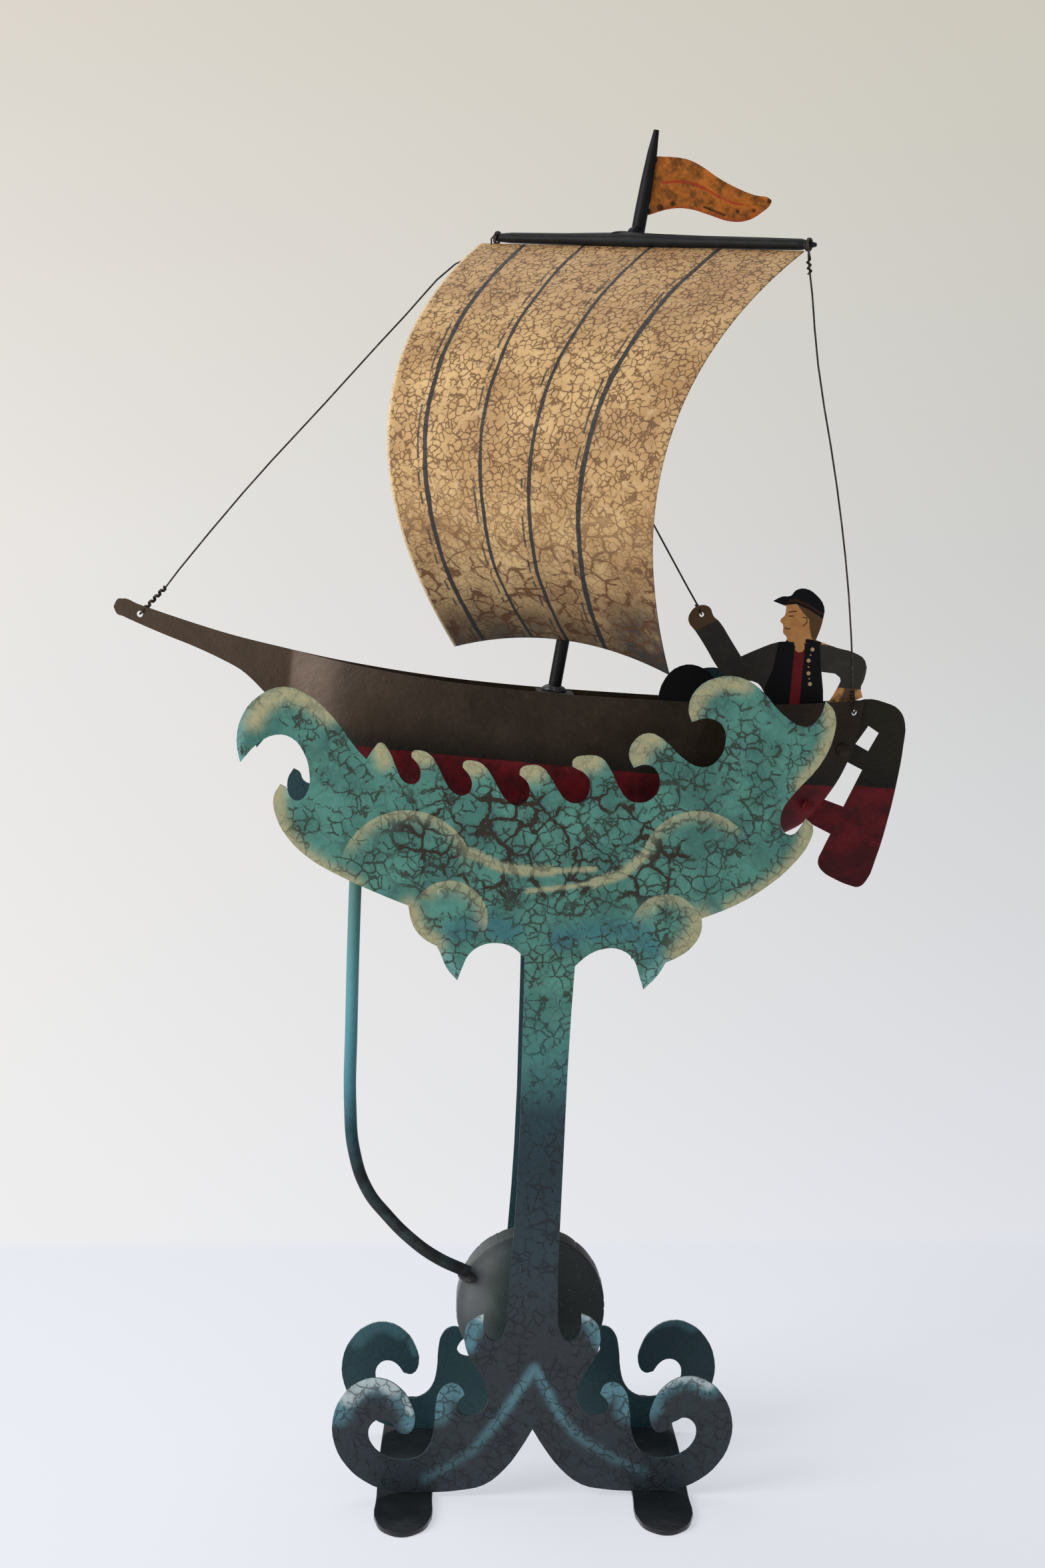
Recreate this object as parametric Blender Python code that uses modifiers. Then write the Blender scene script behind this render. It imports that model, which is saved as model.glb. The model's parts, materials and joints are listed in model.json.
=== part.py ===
"""Tabletop kinetic balance: a painted sheet-metal fishing boat rocking over a wave-shaped stand.

Frame: metres, +Z up, X along the boat with the bow towards -X, Y across it. The origin is on the
table, under the middle of the object's box. Lengths below are
written in millimetres and turned to metres by MM. The boat's pieces are modelled in the boat's own
frame, whose origin is on the rocking axis and whose deck is level, and then pitched bow up.
"""
import math

import bmesh
import bpy
import numpy as np
from mathutils import Matrix, Vector

MM = 0.001
GAP = 0.3                   # clearance left between pieces that touch

# Stand
FRAME_SHIFT = (9.18, 5.07)  # moves the drawing's zero so that the frame is mid-box, in X and Y
PLATE_SPACING = 82.0        # between the mid planes of the two plates
PLATE_THICKNESS = 2.0
STRAP_THICKNESS = 2.3
STRAP_LENGTH = 175.0
STRAP_WIDTH = 24.0
STRAP_TIP_WIDTH = 19.0
STRAP_X = (-56.0, 54.0)
POST_TOP_X = 6.5            # the post leans from BASE_X at its foot to here at the wave
BASE_X = -0.9
POST_HALF_WIDTH = 9.8
SPACERS = ((-39.0, 262.5), (52.0, 254.5))
SPACER_RADIUS = 2.75
TENON_RADIUS = 1.3
RIVET_HEAD_RADIUS = 2.4
RIVET_HEAD_HEIGHT = 0.7
PIVOT_RADIUS = 3.0
SADDLE_BREADTH = 18.0
SADDLE_HALF_LENGTH = 22.0
SADDLE_JAW_HALF = 10.0       # half the width of the two jaws, across the rod
SADDLE_JAW_DROP = 7.0        # how far the jaws reach below the rod's middle

# Boat
BOAT_PITCH_DEG = 5.1
BOAT_ORIGIN = (6.5, 265.0)  # where the boat's own zero hangs over the stand
SADDLE_X = 1.9              # the rocking axis along the boat, under its centre of mass
PIVOT = (BOAT_ORIGIN[0] + SADDLE_X * math.cos(math.radians(BOAT_PITCH_DEG)),
         BOAT_ORIGIN[1] - SADDLE_X * math.sin(math.radians(BOAT_PITCH_DEG)))
SHELL = 0.8                 # hull and bowsprit sheet
SHEET = 1.0                 # rudder and fisherman sheet
THWART_THICKNESS = 1.6
MAST_THWART = (-12.0, 4.0)   # where the thwarts begin and end along the boat
STERN_THWART = (86.0, 98.0)
STERN_THWART_TOP = 59.6
HULL_BEAM_SCALE = 1.0
SAIL_THICKNESS = 0.7
SAIL_YAW_DEG = 30.0
SAIL_TOP = (73.0, 81.5)     # half widths towards the bow and the stern at the yard
SAIL_FOOT = (51.0, 55.0)
SAIL_BELLY = 67.0
SAIL_FOOT_Z = 95.0
SAIL_FOOT_ARCH = 9.0
YARD_Z = 275.0
YARD_RADIUS = 2.6
YARD_REACH = (67.0, 86.0)   # from the mast to the yard's two ends
MAST_FOOT_Z = 80.0
MAST_TIP_Z = 323.0
MAST_RADIUS = 2.8
MAST_TIP_RADIUS = 1.0
MAST_FOOT_X = -4.5
MAST_TIP_X = 17.7
WIRE_RADIUS = 0.4
FORESTAY_BOWS = (-3.5, -4.2, -4.4)    # how far each wire bows aft and down at its quarters
BACKSTAY_BOWS = (3.6, 3.0, -0.5)
SHEET_BOWS = (0.5, 0.8, 0.4)
HOLE_RADIUS = 1.4
RUDDER_RIVETS = ((123.2, 65.9), (110.2, 40.1))
RUDDER_RIVET_SHANK = 1.5
RUDDER_RIVET_HEAD = 2.9
BOW_HOLE = (-186.0, 97.7)
FISHERMAN_GRIP = (56.6, 119.0)
FIGURE_SEAT_Z = 62.0         # the figure's plate runs down to here, inside the hull
STERN_HOLE = (127.0, 82.4)
ROD_RADIUS = 2.75
ROD_X = -85.0               # where the balance rod meets the hull
DISC_CENTRE = (9.4, -191.2)
DISC_RADIUS = 33.0
DISC_THICKNESS = 16.0
DISC_EDGE_RADIUS = 5.0

CORNER = "corner"
BOAT_NAME = "kinetic_sailboat"

scene = bpy.context.scene
for leftover in list(bpy.data.objects):
    bpy.data.objects.remove(leftover, do_unlink=True)
parts = bpy.data.collections.new(BOAT_NAME)
cutters = bpy.data.collections.new("cutters")
scene.collection.children.link(parts)
scene.collection.children.link(cutters)


# ---------------------------------------------------------------------------------------- helpers

def paint(name, colour, roughness, metallic=0.0):
    """A Principled material with one colour."""
    material = bpy.data.materials.new(name)
    material.use_nodes = True
    shader = material.node_tree.nodes["Principled BSDF"]
    shader.inputs["Base Color"].default_value = (*colour, 1.0)
    shader.inputs["Roughness"].default_value = roughness
    shader.inputs["Metallic"].default_value = metallic
    return material


TEAL = paint("wave_teal", (0.10, 0.30, 0.29), 0.45)
SLATE = paint("strap_black", (0.012, 0.014, 0.017), 0.25)
BROWN = paint("hull_brown", (0.085, 0.060, 0.045), 0.5)
BEIGE = paint("sail_beige", (0.42, 0.31, 0.20), 0.6)
CHARCOAL = paint("spar_charcoal", (0.035, 0.035, 0.042), 0.5)
OCHRE = paint("pennant_ochre", (0.55, 0.26, 0.04), 0.55)
RED = paint("rudder_red", (0.12, 0.02, 0.02), 0.5)
FIGURE = paint("figure_paint", (0.05, 0.045, 0.04), 0.55)
WIRE = paint("rigging_wire", (0.06, 0.055, 0.05), 0.4, 0.8)
IRON = paint("disc_iron", (0.07, 0.065, 0.065), 0.5)
STEEL = paint("pivot_steel", (0.30, 0.30, 0.31), 0.35, 1.0)

bpy.context.view_layer.update()
rock_axis = bpy.data.objects.new("boat_rock_axis", None)
rock_axis.location = Vector((PIVOT[0] + FRAME_SHIFT[0], FRAME_SHIFT[1], PIVOT[1])) * MM
rock_axis.rotation_euler = (0.0, math.radians(BOAT_PITCH_DEG), 0.0)
parts.objects.link(rock_axis)


def add(name, data, material, on_boat=False, collection=parts):
    """Link an object; a stand piece is shifted to the frame's centre, a boat piece rides the axis."""
    obj = bpy.data.objects.new(name, data)
    collection.objects.link(obj)
    data.materials.clear()
    data.materials.append(material)
    obj.location = Vector((*FRAME_SHIFT, 0.0)) * MM
    if on_boat:
        obj.parent = rock_axis
        obj.location = Vector((-SADDLE_X, 0.0, 0.0)) * MM
    return obj


def smooth(mesh, angle_deg=35.0):
    """Smooth shading with sharp edges kept."""
    mesh.shade_smooth()
    mesh.set_sharp_from_angle(angle=math.radians(angle_deg))


def circle(centre, radius, count=8):
    """Points round a hole, as smooth outline points."""
    turns = [2.0 * math.pi * k / count for k in range(count)]
    return [(centre[0] + radius * math.cos(a), centre[1] + radius * math.sin(a)) for a in turns]


def outline_curve(name, outlines, thickness, resolution):
    """A filled 2D curve: each outline is a list of (x, z) or (x, z, CORNER) points."""
    curve = bpy.data.curves.new(name, "CURVE")
    curve.dimensions = "2D"
    curve.fill_mode = "BOTH"
    curve.extrude = 0.5 * thickness * MM
    curve.resolution_u = resolution
    for outline in outlines:
        spline = curve.splines.new("BEZIER")
        spline.bezier_points.add(len(outline) - 1)
        spline.use_cyclic_u = True
        for knot, point in zip(spline.bezier_points, outline):
            knot.co = (point[0] * MM, point[1] * MM, 0.0)
            kind = "VECTOR" if len(point) == 3 else "AUTO"
            knot.handle_left_type = kind
            knot.handle_right_type = kind
    return curve


def as_mesh(obj):
    """Replace a curve object by the welded mesh it evaluates to."""
    bpy.context.view_layer.update()
    evaluated = obj.evaluated_get(bpy.context.evaluated_depsgraph_get())
    mesh = bpy.data.meshes.new_from_object(evaluated)
    shape = bmesh.new()
    shape.from_mesh(mesh)
    bmesh.ops.remove_doubles(shape, verts=shape.verts, dist=1e-6)
    bmesh.ops.dissolve_degenerate(shape, edges=shape.edges, dist=1e-7)
    bmesh.ops.recalc_face_normals(shape, faces=shape.faces)
    shape.to_mesh(mesh)
    shape.free()
    name, matrix, parent = obj.name, obj.matrix_world.copy(), obj.parent
    material, curve = obj.data.materials[0], obj.data
    bpy.data.objects.remove(obj, do_unlink=True)
    bpy.data.curves.remove(curve)
    solid = add(name, mesh, material, on_boat=parent is not None)
    solid.location = (0.0, 0.0, 0.0)
    if parent is not None:
        solid.matrix_parent_inverse = rock_axis.matrix_world.inverted()
    solid.matrix_basis = matrix
    return solid


def sheet(name, outlines, thickness, y, material, on_boat=False, resolution=4):
    """A flat cut-out standing in the XZ plane, its mid plane at y."""
    curve = outline_curve(name, outlines, thickness, resolution)
    obj = add(name, curve, material, on_boat)
    obj.rotation_euler = (math.pi / 2.0, 0.0, 0.0)
    obj.location.y += y * MM
    return as_mesh(obj)


def rod(name, points, radius, material, on_boat=False, radii=None, resolution=2, steps=6):
    """A round rod through points, smooth between them; radii scale the section at each point."""
    curve = bpy.data.curves.new(name, "CURVE")
    curve.dimensions = "3D"
    curve.bevel_depth = radius * MM
    curve.bevel_resolution = resolution
    curve.use_fill_caps = True
    curve.resolution_u = steps
    spline = curve.splines.new("BEZIER")
    spline.bezier_points.add(len(points) - 1)
    for index, (knot, point) in enumerate(zip(spline.bezier_points, points)):
        knot.co = Vector(point) * MM
        knot.handle_left_type = "AUTO"
        knot.handle_right_type = "AUTO"
        knot.radius = radii[index] if radii else 1.0
    return as_mesh(add(name, curve, material, on_boat))


def turned(name, profile, centre, material, on_boat=False, steps=32):
    """A solid turned about the Y axis through centre (x, z); profile is (radius, y) from -Y to +Y."""
    mesh = bpy.data.meshes.new(name)
    points = [(radius * MM, 0.0, along * MM) for radius, along in reversed(profile)]
    mesh.from_pydata(points, [(k, k + 1) for k in range(len(points) - 1)], [])
    obj = add(name, mesh, material, on_boat)
    obj.rotation_euler = (-math.pi / 2.0, 0.0, 0.0)
    obj.location += Vector((centre[0], 0.0, centre[1])) * MM
    screw = obj.modifiers.new("turn", "SCREW")
    screw.steps = steps
    screw.render_steps = steps
    screw.use_merge_vertices = True
    screw.merge_threshold = 0.00001
    screw.use_smooth_shade = True
    return obj


def box(name, low, high, material, on_boat=False, collection=parts):
    """A box between two corners."""
    mesh = bpy.data.meshes.new(name)
    shape = bmesh.new()
    bmesh.ops.create_cube(shape, size=1.0)
    size = [b - a for a, b in zip(low, high)]
    middle = [0.5 * (a + b) for a, b in zip(low, high)]
    place = Matrix.Translation(Vector(middle) * MM) @ Matrix.Diagonal([s * MM for s in size] + [1.0])
    bmesh.ops.transform(shape, matrix=place, verts=shape.verts)
    shape.to_mesh(mesh)
    shape.free()
    return add(name, mesh, material, on_boat, collection)


def cut(target, cutter):
    """Cut one object out of another with an exact Boolean."""
    cutter.hide_render = True
    cutter.display_type = "WIRE"
    boolean = target.modifiers.new("cut_" + cutter.name, "BOOLEAN")
    boolean.operation = "DIFFERENCE"
    boolean.solver = "EXACT"
    boolean.object = cutter


def drill(name, centre, radius, reach, on_boat=True):
    """A round cutter along Y."""
    mesh = bpy.data.meshes.new(name)
    shape = bmesh.new()
    bmesh.ops.create_cone(shape, cap_ends=True, segments=16, radius1=radius * MM,
                          radius2=radius * MM, depth=2.0 * reach * MM)
    bmesh.ops.rotate(shape, verts=shape.verts, matrix=Matrix.Rotation(math.pi / 2.0, 3, "X"))
    bmesh.ops.translate(shape, verts=shape.verts, vec=Vector((centre[0], 0.0, centre[1])) * MM)
    shape.to_mesh(mesh)
    shape.free()
    return add(name, mesh, STEEL, on_boat, cutters)


def through(knots, x):
    """A smooth curve through (x, value) knots, read at x, without overshoot at the ends."""
    xs = [k[0] for k in knots]
    ys = [k[1] for k in knots]
    if x <= xs[0]:
        return ys[0]
    if x >= xs[-1]:
        return ys[-1]
    slopes = np.gradient(ys, xs)
    i = int(np.searchsorted(xs, x)) - 1
    span = xs[i + 1] - xs[i]
    t = (x - xs[i]) / span
    rise = (2 * t**3 - 3 * t**2 + 1) * ys[i] + (-2 * t**3 + 3 * t**2) * ys[i + 1]
    return float(rise + span * ((t**3 - 2 * t**2 + t) * slopes[i] + (t**3 - t**2) * slopes[i + 1]))


# ------------------------------------------------------------------------------------------ stand

def breaker(start, end, height, curl=0.0):
    """A breaking crest between two valleys: up its hollow side, over the tip, down its back."""
    shape = [(0.15, 0.10), (0.21, 0.32), (0.18, 0.55), (0.05 - curl, 0.77, CORNER),
             (0.07 - curl, 0.92), (0.23 - 0.6 * curl, 1.00), (0.40, 0.95), (0.55, 0.70),
             (0.68, 0.36), (0.82, 0.09)]
    width = end[0] - start[0]
    drop = end[1] - start[1]
    return [(start[0] + u * width, start[1] + u * drop + v * height, *corner)
            for u, v, *corner in shape]


def wave_outline():
    """The sea, from the top of the post's left side round to its right side."""
    left_fang = [(-4.3, 234.5, CORNER), (-9, 239), (-16, 241), (-23, 239.8), (-28, 236),
                 (-30.5, 231), (-32.8, 225.1, CORNER), (-37.3, 230.5), (-40, 237), (-41.5, 239.8, CORNER)]
    left_bubble = [(-47, 243), (-51.5, 248.8), (-53.4, 257, CORNER)]
    left_edge = [(-66, 262.2), (-82, 269.6), (-95, 277.2), (-104, 286), (-108.8, 295), (-109.7, 303.5),
                 (-107, 308.4, CORNER), (-104.3, 306.8), (-102.6, 303), (-99, 301.6), (-95.4, 305.6),
                 (-94.6, 313), (-97, 322), (-102, 328), (-108.6, 329.3), (-116, 325.8),
                 (-123.6, 317.8, CORNER)]
    left_horn = [(-125, 326.5), (-122.5, 337.5), (-115, 346), (-104.5, 349.4), (-94, 345.5),
                 (-84, 336), (-75, 323.6), (-70.7, 318.9, CORNER)]
    first_crest = [(-67.5, 323.5), (-64.8, 326), (-61.5, 323), (-57.8, 314.2), (-55.6, 310.1)]
    valleys = [(-52.4, 308.4), (-31.5, 303.6), (-7.4, 299.2), (17.8, 300.2), (43.4, 300.4)]
    heights = [15.2, 15.7, 17.0, 20.2]
    curls = [0.02, 0.0, 0.01, 0.13]
    crests = []
    for start, end, height, curl in zip(valleys, valleys[1:], heights, curls):
        crests += [start] + breaker(start, end, height, curl)
    sixth_crest = [valleys[-1], (49.3, 302), (52.7, 308), (50.6, 314.8), (46.4, 316.5),
                   (41.6, 315.2, CORNER), (39.6, 320.5), (42, 326.8), (48, 329.8), (54, 327.2),
                   (62, 319.5), (70.5, 315.3)]
    seventh_crest = [(76.5, 317.7), (80.2, 325), (79, 332.8), (72.5, 336), (66, 334.4, CORNER),
                     (64.6, 340), (68, 348.2), (76, 352.9), (86, 353.2), (95, 348), (104, 337.8),
                     (114.8, 332.3), (120, 336.5), (122.4, 343, CORNER)]
    stern_edge = [(126, 338.8), (126, 329), (120, 316), (109, 303.8), (104, 296), (104.4, 289.2),
                  (108.2, 286.4), (112.4, 290), (114.3, 293.6, CORNER), (117.3, 290.4), (116.4, 284.6),
                  (110, 275.2), (98.5, 265), (85, 256.9), (70.6, 251.2, CORNER)]
    right_bubble = [(70.5, 246), (67, 239.6), (61.6, 235.3), (55.4, 232.4, CORNER)]
    right_fang = [(52, 227), (46, 221, CORNER), (44.2, 227), (41.8, 233.8), (36.5, 237.9), (30, 238.5),
                  (23, 236), (17, 231, CORNER)]
    return (left_fang + left_bubble + left_edge + left_horn + first_crest + crests + sixth_crest
            + seventh_crest + stern_edge + right_bubble + right_fang)


def base_half():
    """Half of the scrolled base, from the post's foot out and back under to the middle notch."""
    foot = STRAP_THICKNESS + GAP
    upper_curl = [(10.9, 82), (11.8, 73), (14.6, 69), (18.4, 69.6), (20.8, 74), (20.9, 80.6, CORNER),
                  (25.4, 78.4), (28.9, 73), (27.6, 63), (22.6, 55), (19.5, 48), (19.4, 41.5),
                  (22.6, 37.2)]
    lower_curl = [(28, 36.2), (32.8, 38.8), (31.8, 42.8), (29.2, 45.4, CORNER), (31, 49.2),
                  (35.6, 50.2), (39.8, 46.8), (41.6, 40), (42.4, 30), (44.9, 22), (50, 17.6)]
    scroll = [(57, 16.8), (64, 18.8), (69, 23.2), (70.6, 28.8), (68.6, 33.4), (64.6, 34.8),
              (60.6, 33), (57.6, 29, CORNER), (53.6, 28.4), (50.6, 33), (52, 41), (57, 48.4),
              (65.4, 52.6), (74.4, 51), (81.8, 44.4), (85.8, 34.6), (85, 23.8), (80, 14.4),
              (72, 7.4), (62.4, foot + 0.8), (54, foot)]
    underside = [(41, foot), (31, foot + 0.8), (21, 5.6), (12, 12.6), (5, 21.8), (0, 30, CORNER)]
    return upper_curl + lower_curl + scroll + underside


def stand_outline():
    """The whole plate, clockwise: sea, post, base."""
    half = base_half()
    right = [(BASE_X + p[0], *p[1:]) for p in half]
    left = [(BASE_X - p[0], *p[1:]) for p in reversed(half[:-1])]
    post_right = [(POST_TOP_X + POST_HALF_WIDTH - 0.8, 211), (POST_TOP_X + 5.1, 136)]
    post_left = [(BASE_X - 6.6, 136), (BASE_X - 3.9, 211)]
    return wave_outline() + post_right + right + left + post_left


def strap_outline():
    """A foot strap with tongue-shaped ends, along local Y."""
    half_length = 0.5 * STRAP_LENGTH
    wide = 0.5 * STRAP_WIDTH
    narrow = 0.5 * STRAP_TIP_WIDTH
    front = [(-wide, -0.5 * PLATE_SPACING - 4), (-narrow - 1.2, 12 - half_length),
             (-0.6 * narrow, 3 - half_length), (0, -half_length), (0.6 * narrow, 3 - half_length),
             (narrow + 1.2, 12 - half_length), (wide, -0.5 * PLATE_SPACING - 4)]
    back = [(-x, -y) for x, y in front]
    return front + back


def build_stand():
    """Plates, foot straps, spacer rods and the pivot rod."""
    holes = [circle(centre, TENON_RADIUS + GAP) for centre in SPACERS]
    half = 0.5 * PLATE_SPACING
    for name, y in (("front_plate", -half), ("rear_plate", half)):
        plate = sheet(name, [stand_outline()] + holes, PLATE_THICKNESS, y, TEAL, resolution=3)
        smooth(plate.data)
    for side, x in zip(("left", "right"), STRAP_X):
        curve = outline_curve("foot_strap_" + side, [strap_outline()], STRAP_THICKNESS, 4)
        strap = add("foot_strap_" + side, curve, SLATE)
        strap.location += Vector((x, 0.0, 0.5 * STRAP_THICKNESS)) * MM
        as_mesh(strap)
    inner = half - 0.5 * PLATE_THICKNESS - GAP
    outer = half + 0.5 * PLATE_THICKNESS + GAP
    dome = outer + RIVET_HEAD_HEIGHT
    profile = [(0, -dome), (0.6 * RIVET_HEAD_RADIUS, -dome + 0.15), (RIVET_HEAD_RADIUS, -outer),
               (TENON_RADIUS, -outer), (TENON_RADIUS, -inner), (SPACER_RADIUS, -inner)]
    whole = profile + [(r, -y) for r, y in reversed(profile)]
    for side, centre in zip(("left", "right"), SPACERS):
        turned("spacer_rod_" + side, whole, centre, TEAL, steps=14)
    turned("pivot_rod", [(0, -inner), (PIVOT_RADIUS, -inner), (PIVOT_RADIUS, inner), (0, inner)],
           PIVOT, STEEL, steps=24)


# ------------------------------------------------------------------------------------------- hull

SHEER = [(-197.4, 100.2), (-196.6, 102.4), (-194.0, 103.7), (-187.4, 102.0), (-172.7, 98.3),
         (-145.0, 92.2), (-120.5, 88.4), (-104.0, 85.9), (-84.0, 83.6), (-57.0, 81.5), (-20.0, 80.4),
         (20.0, 80.8), (60.0, 82.0), (93.0, 83.6), (130.4, 88.0)]
KEEL = [(-197.4, 99.8), (-196.4, 97.8), (-193.0, 96.2), (-187.0, 94.0), (-175.0, 90.0),
        (-161.0, 85.7), (-149.5, 81.5), (-139.5, 76.9), (-129.6, 68.8), (-118.0, 57.0),
        (-104.0, 44.0), (-88.0, 33.5), (-66.0, 24.5), (-36.0, 20.0), (0.0, 19.2), (36.0, 19.2),
        (64.0, 20.2), (88.0, 23.4), (102.6, 28.0), (110.6, 33.9), (117.8, 43.7), (126.1, 60.9),
        (128.8, 70.0), (130.1, 80.0), (130.4, 87.6)]
CREASE_X = -119.0           # forward of it the two sides lie together and make the bowsprit
HALF_BEAM = [(-119.0, 0.15), (-104.0, 5.6), (-84.0, 11.6), (-57.0, 16.8), (-20.0, 21.2),
             (20.0, 23.0), (50.0, 21.2), (78.0, 16.4), (100.0, 10.2), (118.0, 4.6), (130.4, 0.9)]
SEAM = [(-197.4, 0.15), (94.0, 0.15), (102.0, 0.9), (130.4, 0.9)]


def half_beam(x, t):
    """Half the hull's inner breadth at a station; t runs from 0 at the gunwale to 1 at the keel."""
    seam = float(np.interp(x, [k[0] for k in SEAM], [k[1] for k in SEAM]))
    if x <= CREASE_X:
        return seam
    full = max(seam, HULL_BEAM_SCALE * through(HALF_BEAM, x))
    return seam + (full - seam) * (1.0 - t**3) ** 0.6


def hull_stations():
    """Stations along the hull, close where its outline turns."""
    spans = [(-197.4, -194.0, 4), (-194.0, CREASE_X, 10), (CREASE_X, -84.0, 6), (-84.0, 96.0, 12),
             (96.0, 124.0, 6), (124.0, 130.4, 5)]
    stations = [x for low, high, count in spans for x in np.linspace(low, high, count)[:-1]]
    return stations + [130.4]


def hull_side(name, side):
    """One pressed side: a sheet from the gunwale to the keel line, flat ahead of the crease."""
    rows = 7
    mesh = bpy.data.meshes.new(name)
    shape = bmesh.new()
    grid = []
    for x in hull_stations():
        top = through(SHEER, x)
        bottom = min(through(KEEL, x), top - 0.2)
        column = []
        for k in range(rows + 1):
            t = 1.0 - (1.0 - k / rows) ** 1.5
            y = side * half_beam(x, t)
            column.append(shape.verts.new(Vector((x, y, top + (bottom - top) * t)) * MM))
        grid.append(column)
    for left, right in zip(grid, grid[1:]):
        for k in range(rows):
            corners = [left[k], right[k], right[k + 1], left[k + 1]]
            shape.faces.new(corners if side > 0 else reversed(corners))
    shape.to_mesh(mesh)
    shape.free()
    mesh.shade_smooth()
    obj = add(name, mesh, BROWN, on_boat=True)
    skin = obj.modifiers.new("skin", "SOLIDIFY")
    skin.thickness = SHELL * MM
    skin.offset = 1.0
    skin.use_even_offset = False
    return obj


def rudder_outline():
    """The rudder blade with two arms that reach between the hull's sides."""
    upper_arm = [(124.5, 85.2, CORNER), (131.0, 88.6), (140.4, 87.9), (146.4, 85.4), (149.6, 80)]
    trailing = [(149.9, 70), (148.9, 56), (146.2, 36), (142.6, 18.6), (139.6, 9.4)]
    heel = [(136.4, 6.3), (133, 6.6), (126, 8.8), (119.4, 12.4), (117.7, 15.8), (119.2, 21.2),
            (122, 28.5, CORNER)]
    lower_arm = [(106.6, 34.8, CORNER), (104.6, 41), (110.5, 45.6), (117.5, 43.4, CORNER),
                 (126.5, 40.9, CORNER)]
    notch = [(133.1, 57.7, CORNER), (126.1, 60.6, CORNER)]
    root = [(119, 62, CORNER), (118.6, 68, CORNER), (124.5, 78.5, CORNER)]
    return upper_arm + trailing + heel + lower_arm + notch + root


RUDDER_WINDOW = [(133.8, 77.2, CORNER), (128.9, 68.8, CORNER), (134.9, 66.1, CORNER),
                 (138.7, 74.4, CORNER)]


def build_hull():
    """Hull sides, rudder, its rivets, thwarts and the saddle on the pivot."""
    drills = [drill("bow_hole", BOW_HOLE, HOLE_RADIUS, 4.0),
              drill("stern_hole", STERN_HOLE, HOLE_RADIUS, 6.0)]
    drills += [drill(f"rivet_hole_{k}", centre, RUDDER_RIVET_SHANK + GAP, 9.0)
               for k, centre in enumerate(RUDDER_RIVETS)]
    for name, side in (("hull_side_port", -1), ("hull_side_starboard", 1)):
        hull = hull_side(name, side)
        for cutter in drills:
            cut(hull, cutter)
    holes = [circle(centre, RUDDER_RIVET_SHANK + GAP) for centre in RUDDER_RIVETS]
    holes += [circle(STERN_HOLE, HOLE_RADIUS), RUDDER_WINDOW]
    rudder = sheet("rudder", [rudder_outline()] + holes, SHEET, 0.0, RED, on_boat=True, resolution=3)
    smooth(rudder.data)
    for label, centre in zip(("upper", "lower"), RUDDER_RIVETS):
        face = half_beam(centre[0] - RUDDER_RIVET_HEAD, 0.0) + SHELL + GAP
        crown = face + 1.1
        profile = [(0, -crown), (0.55 * RUDDER_RIVET_HEAD, -crown + 0.25),
                   (RUDDER_RIVET_HEAD, -face), (RUDDER_RIVET_SHANK, -face)]
        whole = profile + [(r, -y) for r, y in reversed(profile)]
        turned("rudder_rivet_" + label, whole, centre, BROWN, on_boat=True, steps=14)
    build_thwart("mast_thwart", MAST_THWART, MAST_FOOT_Z)
    build_thwart("stern_thwart", STERN_THWART, STERN_THWART_TOP)
    build_saddle()


def build_thwart(name, span, top):
    """A flat strip inside the hull, from side to side."""
    low = top - THWART_THICKNESS
    depth = [(through(SHEER, x) - low) / (through(SHEER, x) - through(KEEL, x)) for x in span]
    reach = min(half_beam(x, t) for x, t in zip(span, depth)) - 2.0 * GAP
    box(name, (span[0], -reach, low), (span[1], reach, top), BROWN, on_boat=True)


def build_saddle():
    """The bracket under the keel: two cheeks and a bridge, with a slot that sits over the rod."""
    top = through(KEEL, 0.0) - SHELL - GAP
    slot = PIVOT_RADIUS + GAP
    round_top = [(slot * math.cos(a), slot * math.sin(a)) for a in np.linspace(0.0, math.pi, 5)]
    foot = -SADDLE_JAW_DROP
    drawn = [(-SADDLE_HALF_LENGTH, top, CORNER), (SADDLE_HALF_LENGTH, top, CORNER),
             (SADDLE_JAW_HALF, foot, CORNER), (slot, foot, CORNER), *round_top,
             (-slot, foot, CORNER), (-SADDLE_JAW_HALF, foot, CORNER)]
    profile = [(SADDLE_X + point[0], *point[1:]) for point in drawn]
    saddle = sheet("pivot_saddle", [profile], SADDLE_BREADTH, 0.0, STEEL, on_boat=True)
    gauge = 2.0
    inner = 0.5 * SADDLE_BREADTH - gauge
    beyond = SADDLE_HALF_LENGTH + 8.0
    inside = box("saddle_inside", (-beyond, -inner, foot - 3.0), (beyond, inner, top - gauge), STEEL,
                 True, cutters)
    cut(saddle, inside)


# -------------------------------------------------------------------------------------------- rig

YAW = math.radians(SAIL_YAW_DEG)
ALONG_YARD = Vector((math.cos(YAW), -math.sin(YAW), 0.0))
WIND = Vector((-math.sin(YAW), -math.cos(YAW), 0.0))


def mast_point(z):
    """The mast's centre at a height; it rakes aft evenly."""
    share = (z - MAST_FOOT_Z) / (MAST_TIP_Z - MAST_FOOT_Z)
    return Vector((MAST_FOOT_X + (MAST_TIP_X - MAST_FOOT_X) * share, 0.0, z))


def yard_point(along):
    """A point on the yard's centre line, which lies against the mast."""
    return mast_point(YARD_Z) + WIND * (MAST_RADIUS + YARD_RADIUS + GAP) + ALONG_YARD * along


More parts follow.
